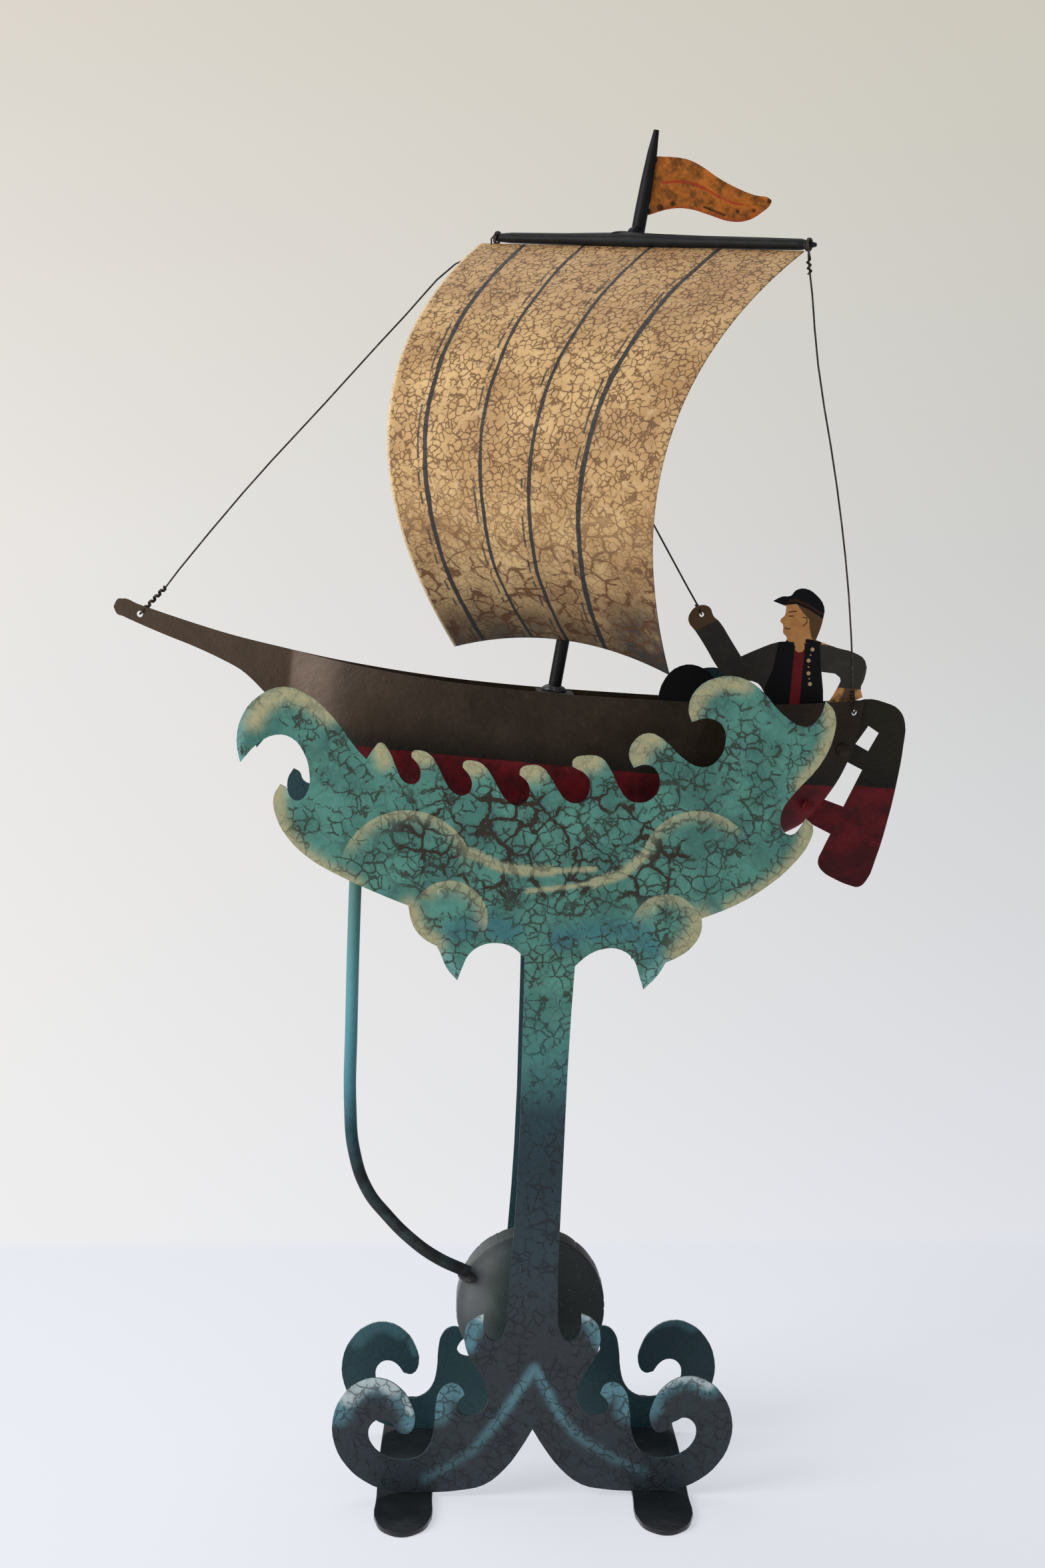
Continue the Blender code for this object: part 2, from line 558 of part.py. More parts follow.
def sail_point(s, t):
    """A point on the sail: s from 0 at the luff to 1 at the leech, t from 0 at the yard to 1."""
    top = YARD_Z - YARD_RADIUS - GAP
    z = top + (SAIL_FOOT_Z - top) * t
    luff = SAIL_TOP[0] + (SAIL_FOOT[0] - SAIL_TOP[0]) * t
    leech = SAIL_TOP[1] + (SAIL_FOOT[1] - SAIL_TOP[1]) * t
    clear = MAST_RADIUS + GAP + SAIL_THICKNESS
    stand_off = clear + (1.0 - t) * YARD_RADIUS
    belly = SAIL_BELLY * 4.0 * t * (1.0 - t) * (1.1 - 0.2 * t)
    point = mast_point(z) + WIND * (stand_off + belly) + ALONG_YARD * (s * (luff + leech) - luff)
    arch = (SAIL_FOOT_ARCH * 4.0 * s * (1.0 - s) - 2.0 * s) * max(0.0, (t - 0.8) / 0.2)
    point.z += arch
    return point


def build_sail():
    """The sail: a sheet rolled to a curve, straight across from edge to edge."""
    columns = 8
    rows = 18
    mesh = bpy.data.meshes.new("sail")
    shape = bmesh.new()
    grid = [[shape.verts.new(sail_point(i / columns, j / rows) * MM) for j in range(rows + 1)]
            for i in range(columns + 1)]
    for left, right in zip(grid, grid[1:]):
        for j in range(rows):
            shape.faces.new((left[j], left[j + 1], right[j + 1], right[j]))
    shape.to_mesh(mesh)
    shape.free()
    mesh.shade_smooth()
    obj = add("sail", mesh, BEIGE, on_boat=True)
    skin = obj.modifiers.new("skin", "SOLIDIFY")
    skin.thickness = SAIL_THICKNESS * MM
    skin.offset = 0.0


def build_rig():
    """Mast, yard, pennant and wires."""
    heights = (MAST_FOOT_Z + GAP, 140.0, 215.0, YARD_Z, 300.0, MAST_TIP_Z)
    share = MAST_TIP_RADIUS / MAST_RADIUS
    rod("mast", [mast_point(z) for z in heights], MAST_RADIUS, CHARCOAL, True,
        radii=(1.0, 1.0, 0.98, 0.96, 0.72, share), steps=4)
    rod("yard", [yard_point(-YARD_REACH[0]), yard_point(-20.0), yard_point(25.0),
                 yard_point(YARD_REACH[1])], YARD_RADIUS, CHARCOAL, True,
        radii=(0.8, 1.0, 1.0, 0.75), steps=4)
    head = mast_point(312.0).x + 0.6 * MAST_RADIUS + GAP
    tack = mast_point(287.0).x + MAST_RADIUS + GAP
    pennant = [(head, 312, CORNER), (31.6, 312), (38.4, 309.6), (46, 305.4), (54, 302),
               (62, 299.6), (69.4, 298.3), (69.6, 297), (66, 292.6), (60, 288.6), (52.6, 287.6),
               (44, 289.4), (35, 291.2), (27, 290.6), (tack, 287, CORNER)]
    sheet("pennant", [pennant], 0.8, 0.0, OCHRE, True)
    yard_bow = yard_point(1.5 - YARD_REACH[0])
    yard_sheet = yard_point(4.0 - YARD_REACH[0])
    yard_stern = yard_point(YARD_REACH[1] - 3.5)
    clear = YARD_RADIUS + WIRE_RADIUS + GAP
    drop = Vector((0.0, 0.0, clear))
    blade = half_beam(BOW_HOLE[0], 0.0) + SHELL
    counter = half_beam(STERN_HOLE[0] - 4.0, 0.0) + SHELL
    wire("forestay_wire", BOW_HOLE, 1.0, blade, yard_bow - WIND * clear, FORESTAY_BOWS)
    wire("backstay_wire", STERN_HOLE, -1.0, counter, yard_stern - drop, BACKSTAY_BOWS)
    wire("sheet_wire", FISHERMAN_GRIP, 1.0, 0.5 * SHEET, yard_sheet - drop - WIND * 1.5, SHEET_BOWS)


def wire(name, hole, side, wall, end, bows):
    """A stay: through a hole in a wall of sheet and on to an end, bowed at each quarter."""
    centre = Vector((hole[0], 0.0, hole[1]))
    across = Vector((0.0, side, 0.0))
    clear = wall + WIRE_RADIUS + GAP
    leave = centre + across * (clear + 0.9)
    rise = (end - leave).normalized()
    bowed = [leave.lerp(end, 0.25 * (k + 1)) + Vector((bow, 0.0, -bow)) for k, bow in enumerate(bows)]
    rod(name, [centre - across * clear, centre + across * (clear - 0.4), leave + rise * 2.0, *bowed,
               end], WIRE_RADIUS, WIRE, True, steps=4)


# --------------------------------------------------------------------------------------- the crew

def build_crew():
    """The fisherman, cut from one sheet."""
    cap = [(87.0, 127.6, CORNER), (90.8, 129.9), (94.6, 130.6), (96.4, 133), (100.4, 134.2),
           (105.6, 131.8), (109.4, 127), (109.4, 121.6)]
    nape = [(108.4, 116.4), (107.2, 112.4, CORNER)]
    rear_arm = [(117, 109.8), (124.4, 108.4), (129.6, 105.2), (129.9, 97), (128.8, 93.6),
                (130.0, 89.4, CORNER), (124.2, 86.6), (114.6, 84.6, CORNER), (118.4, 92), (119.4, 97),
                (111.0, 98.8, CORNER)]
    seat = [(113.0, 86), (112.4, 74), (110.0, FIGURE_SEAT_Z, CORNER), (56, FIGURE_SEAT_Z, CORNER)]
    knee = [(44, 68), (41.2, 80), (43.4, 90), (49.6, 96), (57.4, 96.6), (64.6, 92.2), (68.6, 84.6),
            (72, 80), (80, 78.6), (87, 82)]
    raised_arm = [(87.4, 87, CORNER), (83.8, 91.4), (76, 92.2), (69.4, 93.2), (65, 97.6), (60, 104.6),
                  (54.6, 111.6), (51.2, 115.6), (51.6, 119.4), (55, 122.8), (59.6, 122.6),
                  (61.8, 118.8), (64.6, 116.6), (70, 109.6), (75.4, 102.4, CORNER), (82, 106),
                  (91.4, 110.2)]
    face = [(94.2, 110.6, CORNER), (94.6, 112.2), (92.8, 114.2), (92.4, 117.6), (91.0, 119.4),
            (92.8, 122.0), (93.0, 125.8, CORNER)]
    outline = cap + nape + rear_arm + seat + knee + raised_arm + face
    grip = circle(FISHERMAN_GRIP, WIRE_RADIUS + 0.6)
    figure = sheet("fisherman", [outline, grip], SHEET, 0.0, FIGURE, on_boat=True, resolution=3)
    smooth(figure.data)


def build_balance():
    """The bent rod under the hull and the heavy disc on its end."""
    hull_under = min(through(KEEL, ROD_X + dx) for dx in (-ROD_RADIUS, ROD_RADIUS)) - SHELL - GAP
    front = -(0.5 * DISC_THICKNESS + ROD_RADIUS + GAP)
    route = [(ROD_X, 0, hull_under), (-83.4, 0, -11), (-79.8, 0, -76), (-77.4, 0, -110),
             (-74.0, 0, -130), (-66.6, 0, -147.0), (-57.0, -2, -157), (-46.0, 0.6 * front, -165.2),
             (-34.0, front, -171.4), (-19.0, front, -177.0)]
    rod("balance_rod", route, ROD_RADIUS, TEAL, True, resolution=2, steps=5)
    half = 0.5 * DISC_THICKNESS
    edge = DISC_EDGE_RADIUS
    arc = [(DISC_RADIUS - edge + edge * math.sin(a), -half + edge - edge * math.cos(a))
           for a in np.linspace(0.0, math.pi / 2.0, 4)]
    whole = [(0.0, -half)] + arc + [(r, -y) for r, y in reversed(arc)] + [(0.0, half)]
    turned("balance_disc", whole, DISC_CENTRE, IRON, on_boat=True, steps=36)


build_stand()
build_hull()
build_sail()
build_rig()
build_crew()
build_balance()
bpy.context.view_layer.update()
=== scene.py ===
"""Dressing for the balance boat: painted sheet metal, spars, wire and a soft pale studio.

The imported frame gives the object's place and its moving bodies. Lengths in this file are millimetres
unless a name ends in _m. Two frames are used, both shifted and turned from the object's own: the
stand's drawing, whose zero is on the table between the plates, and the boat's, whose zero is on the
mast's line under a level deck.
"""
import json
import logging
import math
from collections.abc import Callable, Iterable, Sequence
from dataclasses import dataclass, field
from enum import Enum
from typing import Any

import bpy
from mathutils import Matrix, Vector, noise

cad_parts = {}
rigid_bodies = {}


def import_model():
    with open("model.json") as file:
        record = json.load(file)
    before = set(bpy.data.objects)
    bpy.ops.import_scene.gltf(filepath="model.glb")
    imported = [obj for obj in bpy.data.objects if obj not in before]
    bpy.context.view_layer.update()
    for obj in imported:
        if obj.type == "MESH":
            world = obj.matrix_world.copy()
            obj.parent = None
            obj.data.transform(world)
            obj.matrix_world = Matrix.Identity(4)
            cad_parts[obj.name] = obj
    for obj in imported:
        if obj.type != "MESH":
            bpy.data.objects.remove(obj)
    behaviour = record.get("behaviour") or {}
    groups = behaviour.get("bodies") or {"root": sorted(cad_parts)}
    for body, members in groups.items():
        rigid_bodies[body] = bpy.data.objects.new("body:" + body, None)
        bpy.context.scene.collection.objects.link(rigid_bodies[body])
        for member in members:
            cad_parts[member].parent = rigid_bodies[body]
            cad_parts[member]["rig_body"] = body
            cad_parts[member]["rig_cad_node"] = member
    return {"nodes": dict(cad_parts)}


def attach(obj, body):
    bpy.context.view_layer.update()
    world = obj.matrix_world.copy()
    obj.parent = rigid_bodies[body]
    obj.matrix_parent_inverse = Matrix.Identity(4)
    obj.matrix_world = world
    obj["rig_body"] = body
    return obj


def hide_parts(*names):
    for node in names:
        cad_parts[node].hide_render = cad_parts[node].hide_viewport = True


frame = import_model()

log = logging.getLogger("balance_boat")

Point = tuple[float, float]
Colour = tuple[float, float, float]

MM = 0.001
DRAWING_SHIFT = Vector((9.18, 5.07, 0.0))
BOAT_ZERO = Vector((6.5, 0.0, 265.0)) + DRAWING_SHIFT
BOAT_PITCH = math.radians(5.1)
PLATE_MIDDLE = 41.0
DISC_MIDDLE = (9.4, -191.2)
GAP = 0.3
HEAD_RINGS = ((0.82, 0.55), (0.5, 0.35), (0.2, 0.1))
CORNER = math.radians(60.0)
MERGE_M = 0.000002
MERGE_MM = 0.001
QUARTER_TURN = math.pi / 2.0


class Place(Enum):
    """The two drawing frames that sizes are given in."""

    STAND = "stand"
    BOAT = "boat"

    @property
    def matrix(self) -> Matrix:
        """From this frame in millimetres to the object's frame in metres."""
        if self is Place.STAND:
            return Matrix.Scale(MM, 4) @ Matrix.Translation(DRAWING_SHIFT)
        turn = Matrix.Rotation(BOAT_PITCH, 4, "Y")
        return Matrix.Scale(MM, 4) @ Matrix.Translation(BOAT_ZERO) @ turn


# ----------------------------------------------------------------------------------------- shading

class Value:
    """A socket that can be used in arithmetic. Each operation adds one Math node."""

    def __init__(self, board: "Board", socket: bpy.types.NodeSocket) -> None:
        """Wrap an output socket of a board's tree."""
        self.board = board
        self.socket = socket

    def math(self, operation: str, *others: "Value | float") -> "Value":
        """Add a Math node whose first input is this value."""
        return self.board.calculate(operation, self, *others)

    def __add__(self, other: "Value | float") -> "Value":
        """Sum."""
        return self.math("ADD", other)

    def __sub__(self, other: "Value | float") -> "Value":
        """Difference."""
        return self.math("SUBTRACT", other)

    def __rsub__(self, other: float) -> "Value":
        """Difference from a number."""
        return self.board.calculate("SUBTRACT", other, self)

    def __mul__(self, other: "Value | float") -> "Value":
        """Product."""
        return self.math("MULTIPLY", other)

    def __truediv__(self, other: "Value | float") -> "Value":
        """Quotient."""
        return self.math("DIVIDE", other)

    def __abs__(self) -> "Value":
        """Size without sign."""
        return self.math("ABSOLUTE")

    __radd__ = __add__
    __rmul__ = __mul__

    def lowest(self, other: "Value | float") -> "Value":
        """The smaller of two."""
        return self.math("MINIMUM", other)

    def highest(self, other: "Value | float") -> "Value":
        """The larger of two."""
        return self.math("MAXIMUM", other)

    def rise(self, low: "Value | float", high: "Value | float") -> "Value":
        """A soft step from 0 at low to 1 at high.

        Args:
            low: Where the step starts.
            high: Where it is complete; lower than low for a falling step.

        Returns:
            The stepped value, between 0 and 1.
        """
        return self.board.node("ShaderNodeMapRange", {"interpolation_type": "SMOOTHSTEP"},
                               {0: self, 1: low, 2: high, 3: 0.0, 4: 1.0})

    def past(self, line: float, soft: float = 0.2) -> "Value":
        """A mask of what is beyond a line, with an edge soft to either side."""
        return self.rise(line - soft, line + soft)

    def before(self, line: float, soft: float = 0.2) -> "Value":
        """A mask of what is short of a line, with an edge soft to either side."""
        return self.rise(line + soft, line - soft)


class Board:
    """A node tree, with the few operations that the surfaces and the room are written in."""

    def __init__(self, tree: bpy.types.NodeTree) -> None:
        """Start with an emptied tree."""
        self.tree = tree
        tree.nodes.clear()

    def node(self, kind: str, settings: dict[str, Any] | None = None,
             inputs: dict[int | str, Any] | None = None, output: int | str = 0) -> Value:
        """Add any node.

        Args:
            kind: The node's type name.
            settings: Properties to set first; "stops" fills a ramp with (place, colour) pairs.
            inputs: Numbers, vectors, colours or values for its sockets, by name or index.
            output: The socket to return.

        Returns:
            The chosen output.
        """
        made = self.tree.nodes.new(kind)
        for name, setting in (settings or {}).items():
            if name == "stops":
                ramp = made.color_ramp.elements
                while len(ramp) < len(setting):
                    ramp.new(1.0)
                for element, (place, colour) in zip(ramp, setting):
                    element.position = place
                    element.color = (*colour, 1.0)
            else:
                setattr(made, name, setting)
        for key, value in (inputs or {}).items():
            socket = made.inputs[key]
            if isinstance(value, Value):
                self.tree.links.new(value.socket, socket)
            elif socket.type == "RGBA":
                socket.default_value = (*value, 1.0)
            else:
                socket.default_value = value
        return Value(self, made.outputs[output])

    def calculate(self, operation: str, *inputs: Value | float) -> Value:
        """Add a Math node."""
        return self.node("ShaderNodeMath", {"operation": operation}, dict(enumerate(inputs)))

    def vector(self, operation: str, *inputs: Any) -> Value:
        """Add a Vector Math node and return its vector, or its number where it makes one."""
        single = operation in ("DOT_PRODUCT", "DISTANCE", "LENGTH")
        return self.node("ShaderNodeVectorMath", {"operation": operation}, dict(enumerate(inputs)),
                         output=1 if single else 0)

    def parts_of(self, vector: Value) -> tuple[Value, Value, Value]:
        """Split a vector into its three numbers."""
        made = self.node("ShaderNodeSeparateXYZ", inputs={0: vector})
        outputs = made.socket.node.outputs
        return Value(self, outputs[0]), Value(self, outputs[1]), Value(self, outputs[2])

    def joined(self, x: Value | float, y: Value | float, z: Value | float) -> Value:
        """Join three numbers into a vector."""
        return self.node("ShaderNodeCombineXYZ", inputs={0: x, 1: y, 2: z})

    def mix(self, share: Value | float, first: Any, second: Any) -> Value:
        """Mix two colours by a share of the second."""
        return self.node("ShaderNodeMix", {"data_type": "RGBA"}, {0: share, 6: first, 7: second}, 2)

    def ramp(self, value: Value, low: float, high: float,
             stops: Sequence[tuple[float, Colour]]) -> Value:
        """Colours along a value.

        Args:
            value: What the colour depends on.
            low: The value at the ramp's start.
            high: The value at its end.
            stops: (value, colour) pairs in rising order.

        Returns:
            The colour.
        """
        placed = [((at - low) / (high - low), colour) for at, colour in stops]
        share = self.node("ShaderNodeMapRange", {}, {0: value, 1: low, 2: high})
        return self.node("ShaderNodeValToRGB", {"stops": placed}, {0: share})

    def profile(self, value: Value, knots: Sequence[Point]) -> Value:
        """A number that follows straight lines between (value, number) knots."""
        low, high = knots[0][0], knots[-1][0]
        least = min(number for _, number in knots)
        most = max(number for _, number in knots)
        stops = [(at, ((number - least) / (most - least),) * 3) for at, number in knots]
        level = self.node("ShaderNodeSeparateColor", inputs={0: self.ramp(value, low, high, stops)})
        return level * (most - least) + least

    def close(self, shader: Value, kind: str = "Material") -> None:
        """Join a finished shader to the tree's output."""
        output = self.tree.nodes.new(f"ShaderNodeOutput{kind}")
        self.tree.links.new(shader.socket, output.inputs["Surface"])


class PaintBoard(Board):
    """The board of one material, which knows where it is on the object."""

    def __init__(self, name: str, place: Place) -> None:
        """Start an empty tree and its coordinates in millimetres.

        Args:
            name: The material's name.
            place: The drawing frame that the finish's sizes are given in.
        """
        self.material = bpy.data.materials.new(name)
        self.material.use_nodes = True
        super().__init__(self.material.node_tree)
        zero = DRAWING_SHIFT if place is Place.STAND else BOAT_ZERO
        pitch = 0.0 if place is Place.STAND else BOAT_PITCH
        surface = self.node("ShaderNodeTexCoord", output="Object")
        self.spot = self.node("ShaderNodeMapping", {"vector_type": "TEXTURE"},
                              {"Vector": surface, "Location": zero * MM,
                               "Rotation": (0.0, pitch, 0.0), "Scale": (MM, MM, MM)})
        self.x, self.y, self.z = self.parts_of(self.spot)
        self.flat = self.vector("MULTIPLY", self.spot, (1.0, 0.0, 1.0))

    def cloud(self, size: float, detail: float = 3.0, rough: float = 0.55,
              at: Value | None = None) -> Value:
        """Soft noise from 0 to 1 whose patches are about size across."""
        return self.node("ShaderNodeTexNoise", {}, {"Vector": at or self.spot, "Scale": 1.0 / size,
                                                    "Detail": detail, "Roughness": rough})

    def warped(self, size: float, reach: float, at: Value | None = None) -> Value:
        """The coordinates, pushed about by noise, so that regular patterns wander."""
        swirl = self.node("ShaderNodeTexNoise", {}, {"Vector": at or self.spot, "Scale": 1.0 / size,
                                                     "Detail": 3.0}, 1)
        push = self.vector("SUBTRACT", swirl, (0.5, 0.5, 0.5))
        return self.vector("ADD", self.node("ShaderNodeVectorMath", {"operation": "SCALE"},
                                            {0: push, "Scale": reach}), at or self.spot)

    def crackle(self, cell: float, width: float, broken: float,
                at: Value | None = None) -> tuple[Value, Value]:
        """The lines of a cracked glaze.

        Args:
            cell: The usual distance between cracks.
            width: The usual width of a crack.
            broken: The share of the cracks that are missing, from 0 to 1.
            at: Coordinates, if not the board's own.

        Returns:
            The crack mask, and a wider soft halo round the cracks.
        """
        wander = self.warped(0.22 * cell, 0.20 * cell, self.warped(cell, 0.8 * cell, at))
        edge = self.node("ShaderNodeTexVoronoi", {"feature": "DISTANCE_TO_EDGE"},
                         {"Vector": wander, "Scale": 1.0 / cell}) * cell
        thick = self.cloud(1.7 * cell, 2.0, at=at).rise(0.3, 0.72)
        kept = self.cloud(1.9 * cell, 3.0, 0.6, at=at).rise(broken - 0.06, broken + 0.06)
        half = (thick + 0.4) * kept * (0.5 * width)
        crack = edge.rise(half + 0.1, half - 0.06) * kept
        halo = edge.rise(half * 2.5 + 0.6, half) * kept
        return crack, halo

    def distance_to(self, points: Sequence[Point]) -> Value:
        """The distance from the surface, seen square on, to a line through points."""
        first = points[0]
        if len(points) == 1:
            return self.vector("DISTANCE", self.flat, (first[0], 0.0, first[1]))
        nearest = None
        for start, end in zip(points, points[1:]):
            along = Vector((end[0] - start[0], 0.0, end[1] - start[1]))
            offset = self.vector("SUBTRACT", self.flat, (start[0], 0.0, start[1]))
            share = self.vector("DOT_PRODUCT", offset, tuple(along / along.length_squared))
            share = self.node("ShaderNodeClamp", inputs={0: share})
            foot = self.node("ShaderNodeVectorMath", {"operation": "SCALE"},
                             {0: tuple(along), "Scale": share})
            away = self.vector("DISTANCE", offset, foot)
            nearest = away if nearest is None else nearest.lowest(away)
        return nearest

    def brushed(self, strokes: Iterable["Stroke"]) -> Value:
        """The mask of several brush strokes together."""
        depth = None
        for stroke in strokes:
            away = (self.distance_to(stroke.points) - stroke.half_width) / stroke.fade
            depth = away if depth is None else depth.lowest(away)
        return depth.rise(1.0, 0.0)

    def arc(self, arc: "Arc") -> Value:
        """A brushed arc with a crisp outer side that fades inwards and at both ends."""
        middle = (arc.middle[0], 0.0, arc.middle[1])
        offset = self.vector("SUBTRACT", self.flat, middle)
        depth = arc.radius - self.vector("LENGTH", offset)
        facing = Vector((math.cos(arc.heading), 0.0, math.sin(arc.heading)))
        toward = self.vector("DOT_PRODUCT", self.vector("NORMALIZE", offset), tuple(facing))
        ends = toward.rise(math.cos(arc.half_sweep), math.cos(0.6 * arc.half_sweep))
        return depth.rise(0.0, 0.6) * depth.rise(arc.fade, 0.5) * ends

    def bump(self, height: Value, depth: float) -> Value:
        """A normal from a height in shares of a depth."""
        return self.node("ShaderNodeBump", {}, {"Strength": 1.0, "Distance": depth * MM,
                                                "Height": height})

    def coated(self, colour: Any, roughness: Value | float, normal: Value | None = None,
               **fixed: float) -> bpy.types.Material:
        """Finish the material with a Principled shader.

        Args:
            colour: The base colour.
            roughness: The roughness.
            normal: The normal, if it is bumped.
            fixed: Other sockets' numbers, named with _ for a space.

        Returns:
            The material.
        """
        inputs: dict[int | str, Any] = {"Base Color": colour, "Roughness": roughness}
        inputs.update({name.replace("_", " "): number for name, number in fixed.items()})
        if normal is not None:
            inputs["Normal"] = normal
        self.close(self.node("ShaderNodeBsdfPrincipled", {}, inputs))
        return self.material


@dataclass(frozen=True)
class Stroke:
    """A pass of the brush: the points it follows, its half width and the fade beside it."""

    points: tuple[Point, ...]
    half_width: float
    fade: float


@dataclass(frozen=True)
class Arc:
    """A curved pass of the brush, by its circle, the way its middle faces and half its sweep."""

    middle: Point
    radius: float
    heading: float
    half_sweep: float
    fade: float


# ---------------------------------------------------------------------------------------- finishes

CREAM_STROKES = (
    Stroke(((-118.0, 335.0), (-113.0, 343.0), (-104.5, 347.0), (-94.0, 343.5), (-87.0, 337.5)), 0.5, 9.0),
    Stroke(((-107.5, 307.0), (-108.5, 298.5), (-105.0, 287.0), (-97.0, 278.0), (-87.0, 271.5),
            (-76.0, 265.5)), 0.5, 8.5),
    Stroke(((-65.0, 324.0), (-63.5, 318.0)), 1.0, 7.0),
    Stroke(((-50.0, 320.0), (-45.5, 321.0)), 1.5, 8.5),
    Stroke(((-29.0, 316.5), (-24.5, 316.0)), 1.5, 8.0),
    Stroke(((-5.0, 314.0), (0.5, 314.0)), 1.5, 8.5),
    Stroke(((19.0, 317.0), (24.5, 318.5)), 1.5, 8.5),
    Stroke(((43.0, 320.0), (46.0, 326.5), (50.0, 328.0)), 1.5, 9.0),
    Stroke(((66.0, 338.0), (69.5, 346.5), (77.0, 351.0), (88.0, 350.0)), 0.5, 8.0),
    Stroke(((124.0, 340.0), (125.5, 330.0), (120.5, 318.0), (112.5, 308.0)), 0.5, 8.0),
    Stroke(((115.0, 291.0), (114.5, 282.0), (108.0, 272.0), (96.5, 262.5), (83.5, 255.5)), 0.5, 9.0),
    Stroke(((-53.0, 256.0), (-49.0, 246.5), (-42.0, 240.5)), 0.5, 9.0),
    Stroke(((70.0, 250.0), (68.5, 243.0), (62.0, 236.0)), 1.0, 12.0),
)
SWIRL_ARCS = (
    Arc((-53.9, 268.6), 29.2, math.radians(85.0), math.radians(90.0), 11.0),
    Arc((68.7, 273.0), 24.4, math.radians(107.0), math.radians(84.0), 10.0),
    Arc((-36.0, 251.5), 16.5, math.radians(62.0), math.radians(104.0), 12.0),
    Arc((55.7, 247.0), 15.0, math.radians(68.0), math.radians(120.0), 12.0),
)
SWIRL_STROKES = (
    Stroke(((-27.0, 279.5), (-21.5, 276.8), (-15.0, 273.6), (-5.0, 271.8), (7.0, 271.6)), 0.9, 2.6),
    Stroke(((7.0, 271.6), (25.0, 272.4)), 0.3, 1.8),
    Stroke(((25.0, 266.6), (36.5, 270.2), (42.0, 274.3), (46.5, 278.6)), 0.9, 2.6),
    Stroke(((-3.0, 263.0), (12.0, 264.6), (25.0, 266.6)), 0.2, 1.8),
)
BLUE_STROKES = (
    Stroke(((-34.0, 246.0), (-22.0, 249.5), (-10.0, 246.0)), 1.0, 7.0),
    Stroke(((10.0, 243.0), (28.0, 246.5), (44.0, 246.0), (50.0, 238.0)), 1.0, 7.0),
)
# Painted highlights: light cyan along the edges of the hollows, the fangs and the left horn, where the
# rounded edges catch the light.
CYAN_HIGHLIGHT_STROKES = (
    Stroke(((-33.5, 228.0), (-38.0, 235.5), (-41.0, 240.0)), 0.2, 4.5),
    Stroke(((46.0, 223.0), (51.0, 229.0), (55.0, 233.0)), 0.2, 4.0),
    Stroke(((-124.0, 318.0), (-125.0, 326.5), (-121.0, 338.0)), 0.4, 4.0),
    Stroke(((-109.7, 303.5), (-107.5, 307.5), (-103.5, 304.5)), 0.2, 3.0),
)
STREAK_STROKES = (
    Stroke(((0.0, 57.0), (-5.8, 48.5), (-11.6, 39.8), (-19.8, 29.0), (-27.0, 20.5), (-37.5, 13.5),
            (-47.0, 8.6)), 0.2, 4.8),
    Stroke(((0.0, 57.0), (5.9, 45.7), (10.6, 36.5), (16.5, 29.0), (22.5, 24.0), (34.0, 17.0),
            (47.0, 10.8)), 0.2, 4.8),
)
SPRAY_STROKES = (
    Stroke(((-84.0, 38.0), (-79.5, 46.0), (-73.5, 50.6), (-66.5, 51.5), (-59.5, 47.8), (-54.5, 42.0)),
           0.2, 8.5),
    Stroke(((-52.8, 39.0), (-53.6, 33.0)), 0.2, 7.0),
    Stroke(((50.0, 39.0), (52.7, 47.0), (59.7, 51.6), (68.0, 52.5), (75.0, 48.8)), 0.2, 7.5),
    Stroke(((-41.5, 38.0), (-40.0, 45.5), (-34.5, 48.8), (-30.0, 45.5)), 0.4, 8.0),
    Stroke(((30.0, 45.5), (34.0, 49.0), (39.0, 45.8), (40.0, 38.5)), 0.4, 8.0),
    Stroke(((-28.6, 68.0), (-26.5, 75.0), (-22.5, 79.5)), 0.4, 6.5),
    Stroke(((20.5, 80.0), (25.7, 77.0), (28.5, 69.5)), 0.6, 6.5),
)
FOAM_STROKES = (
    Stroke(((-80.0, 45.0), (-73.4, 51.4), (-66.4, 52.4), (-60.0, 49.0)), 1.4, 5.0),
    Stroke(((-55.4, 43.6), (-53.4, 38.0)), 0.1, 2.5),
    Stroke(((54.0, 49.0), (60.0, 52.4), (68.0, 53.2), (74.5, 49.6)), 0.9, 3.2),
    Stroke(((-23.6, 80.6), (-22.6, 79.6)), 0.1, 3.5),
    Stroke(((20.6, 81.6), (23.0, 80.2)), 0.1, 4.5),
)


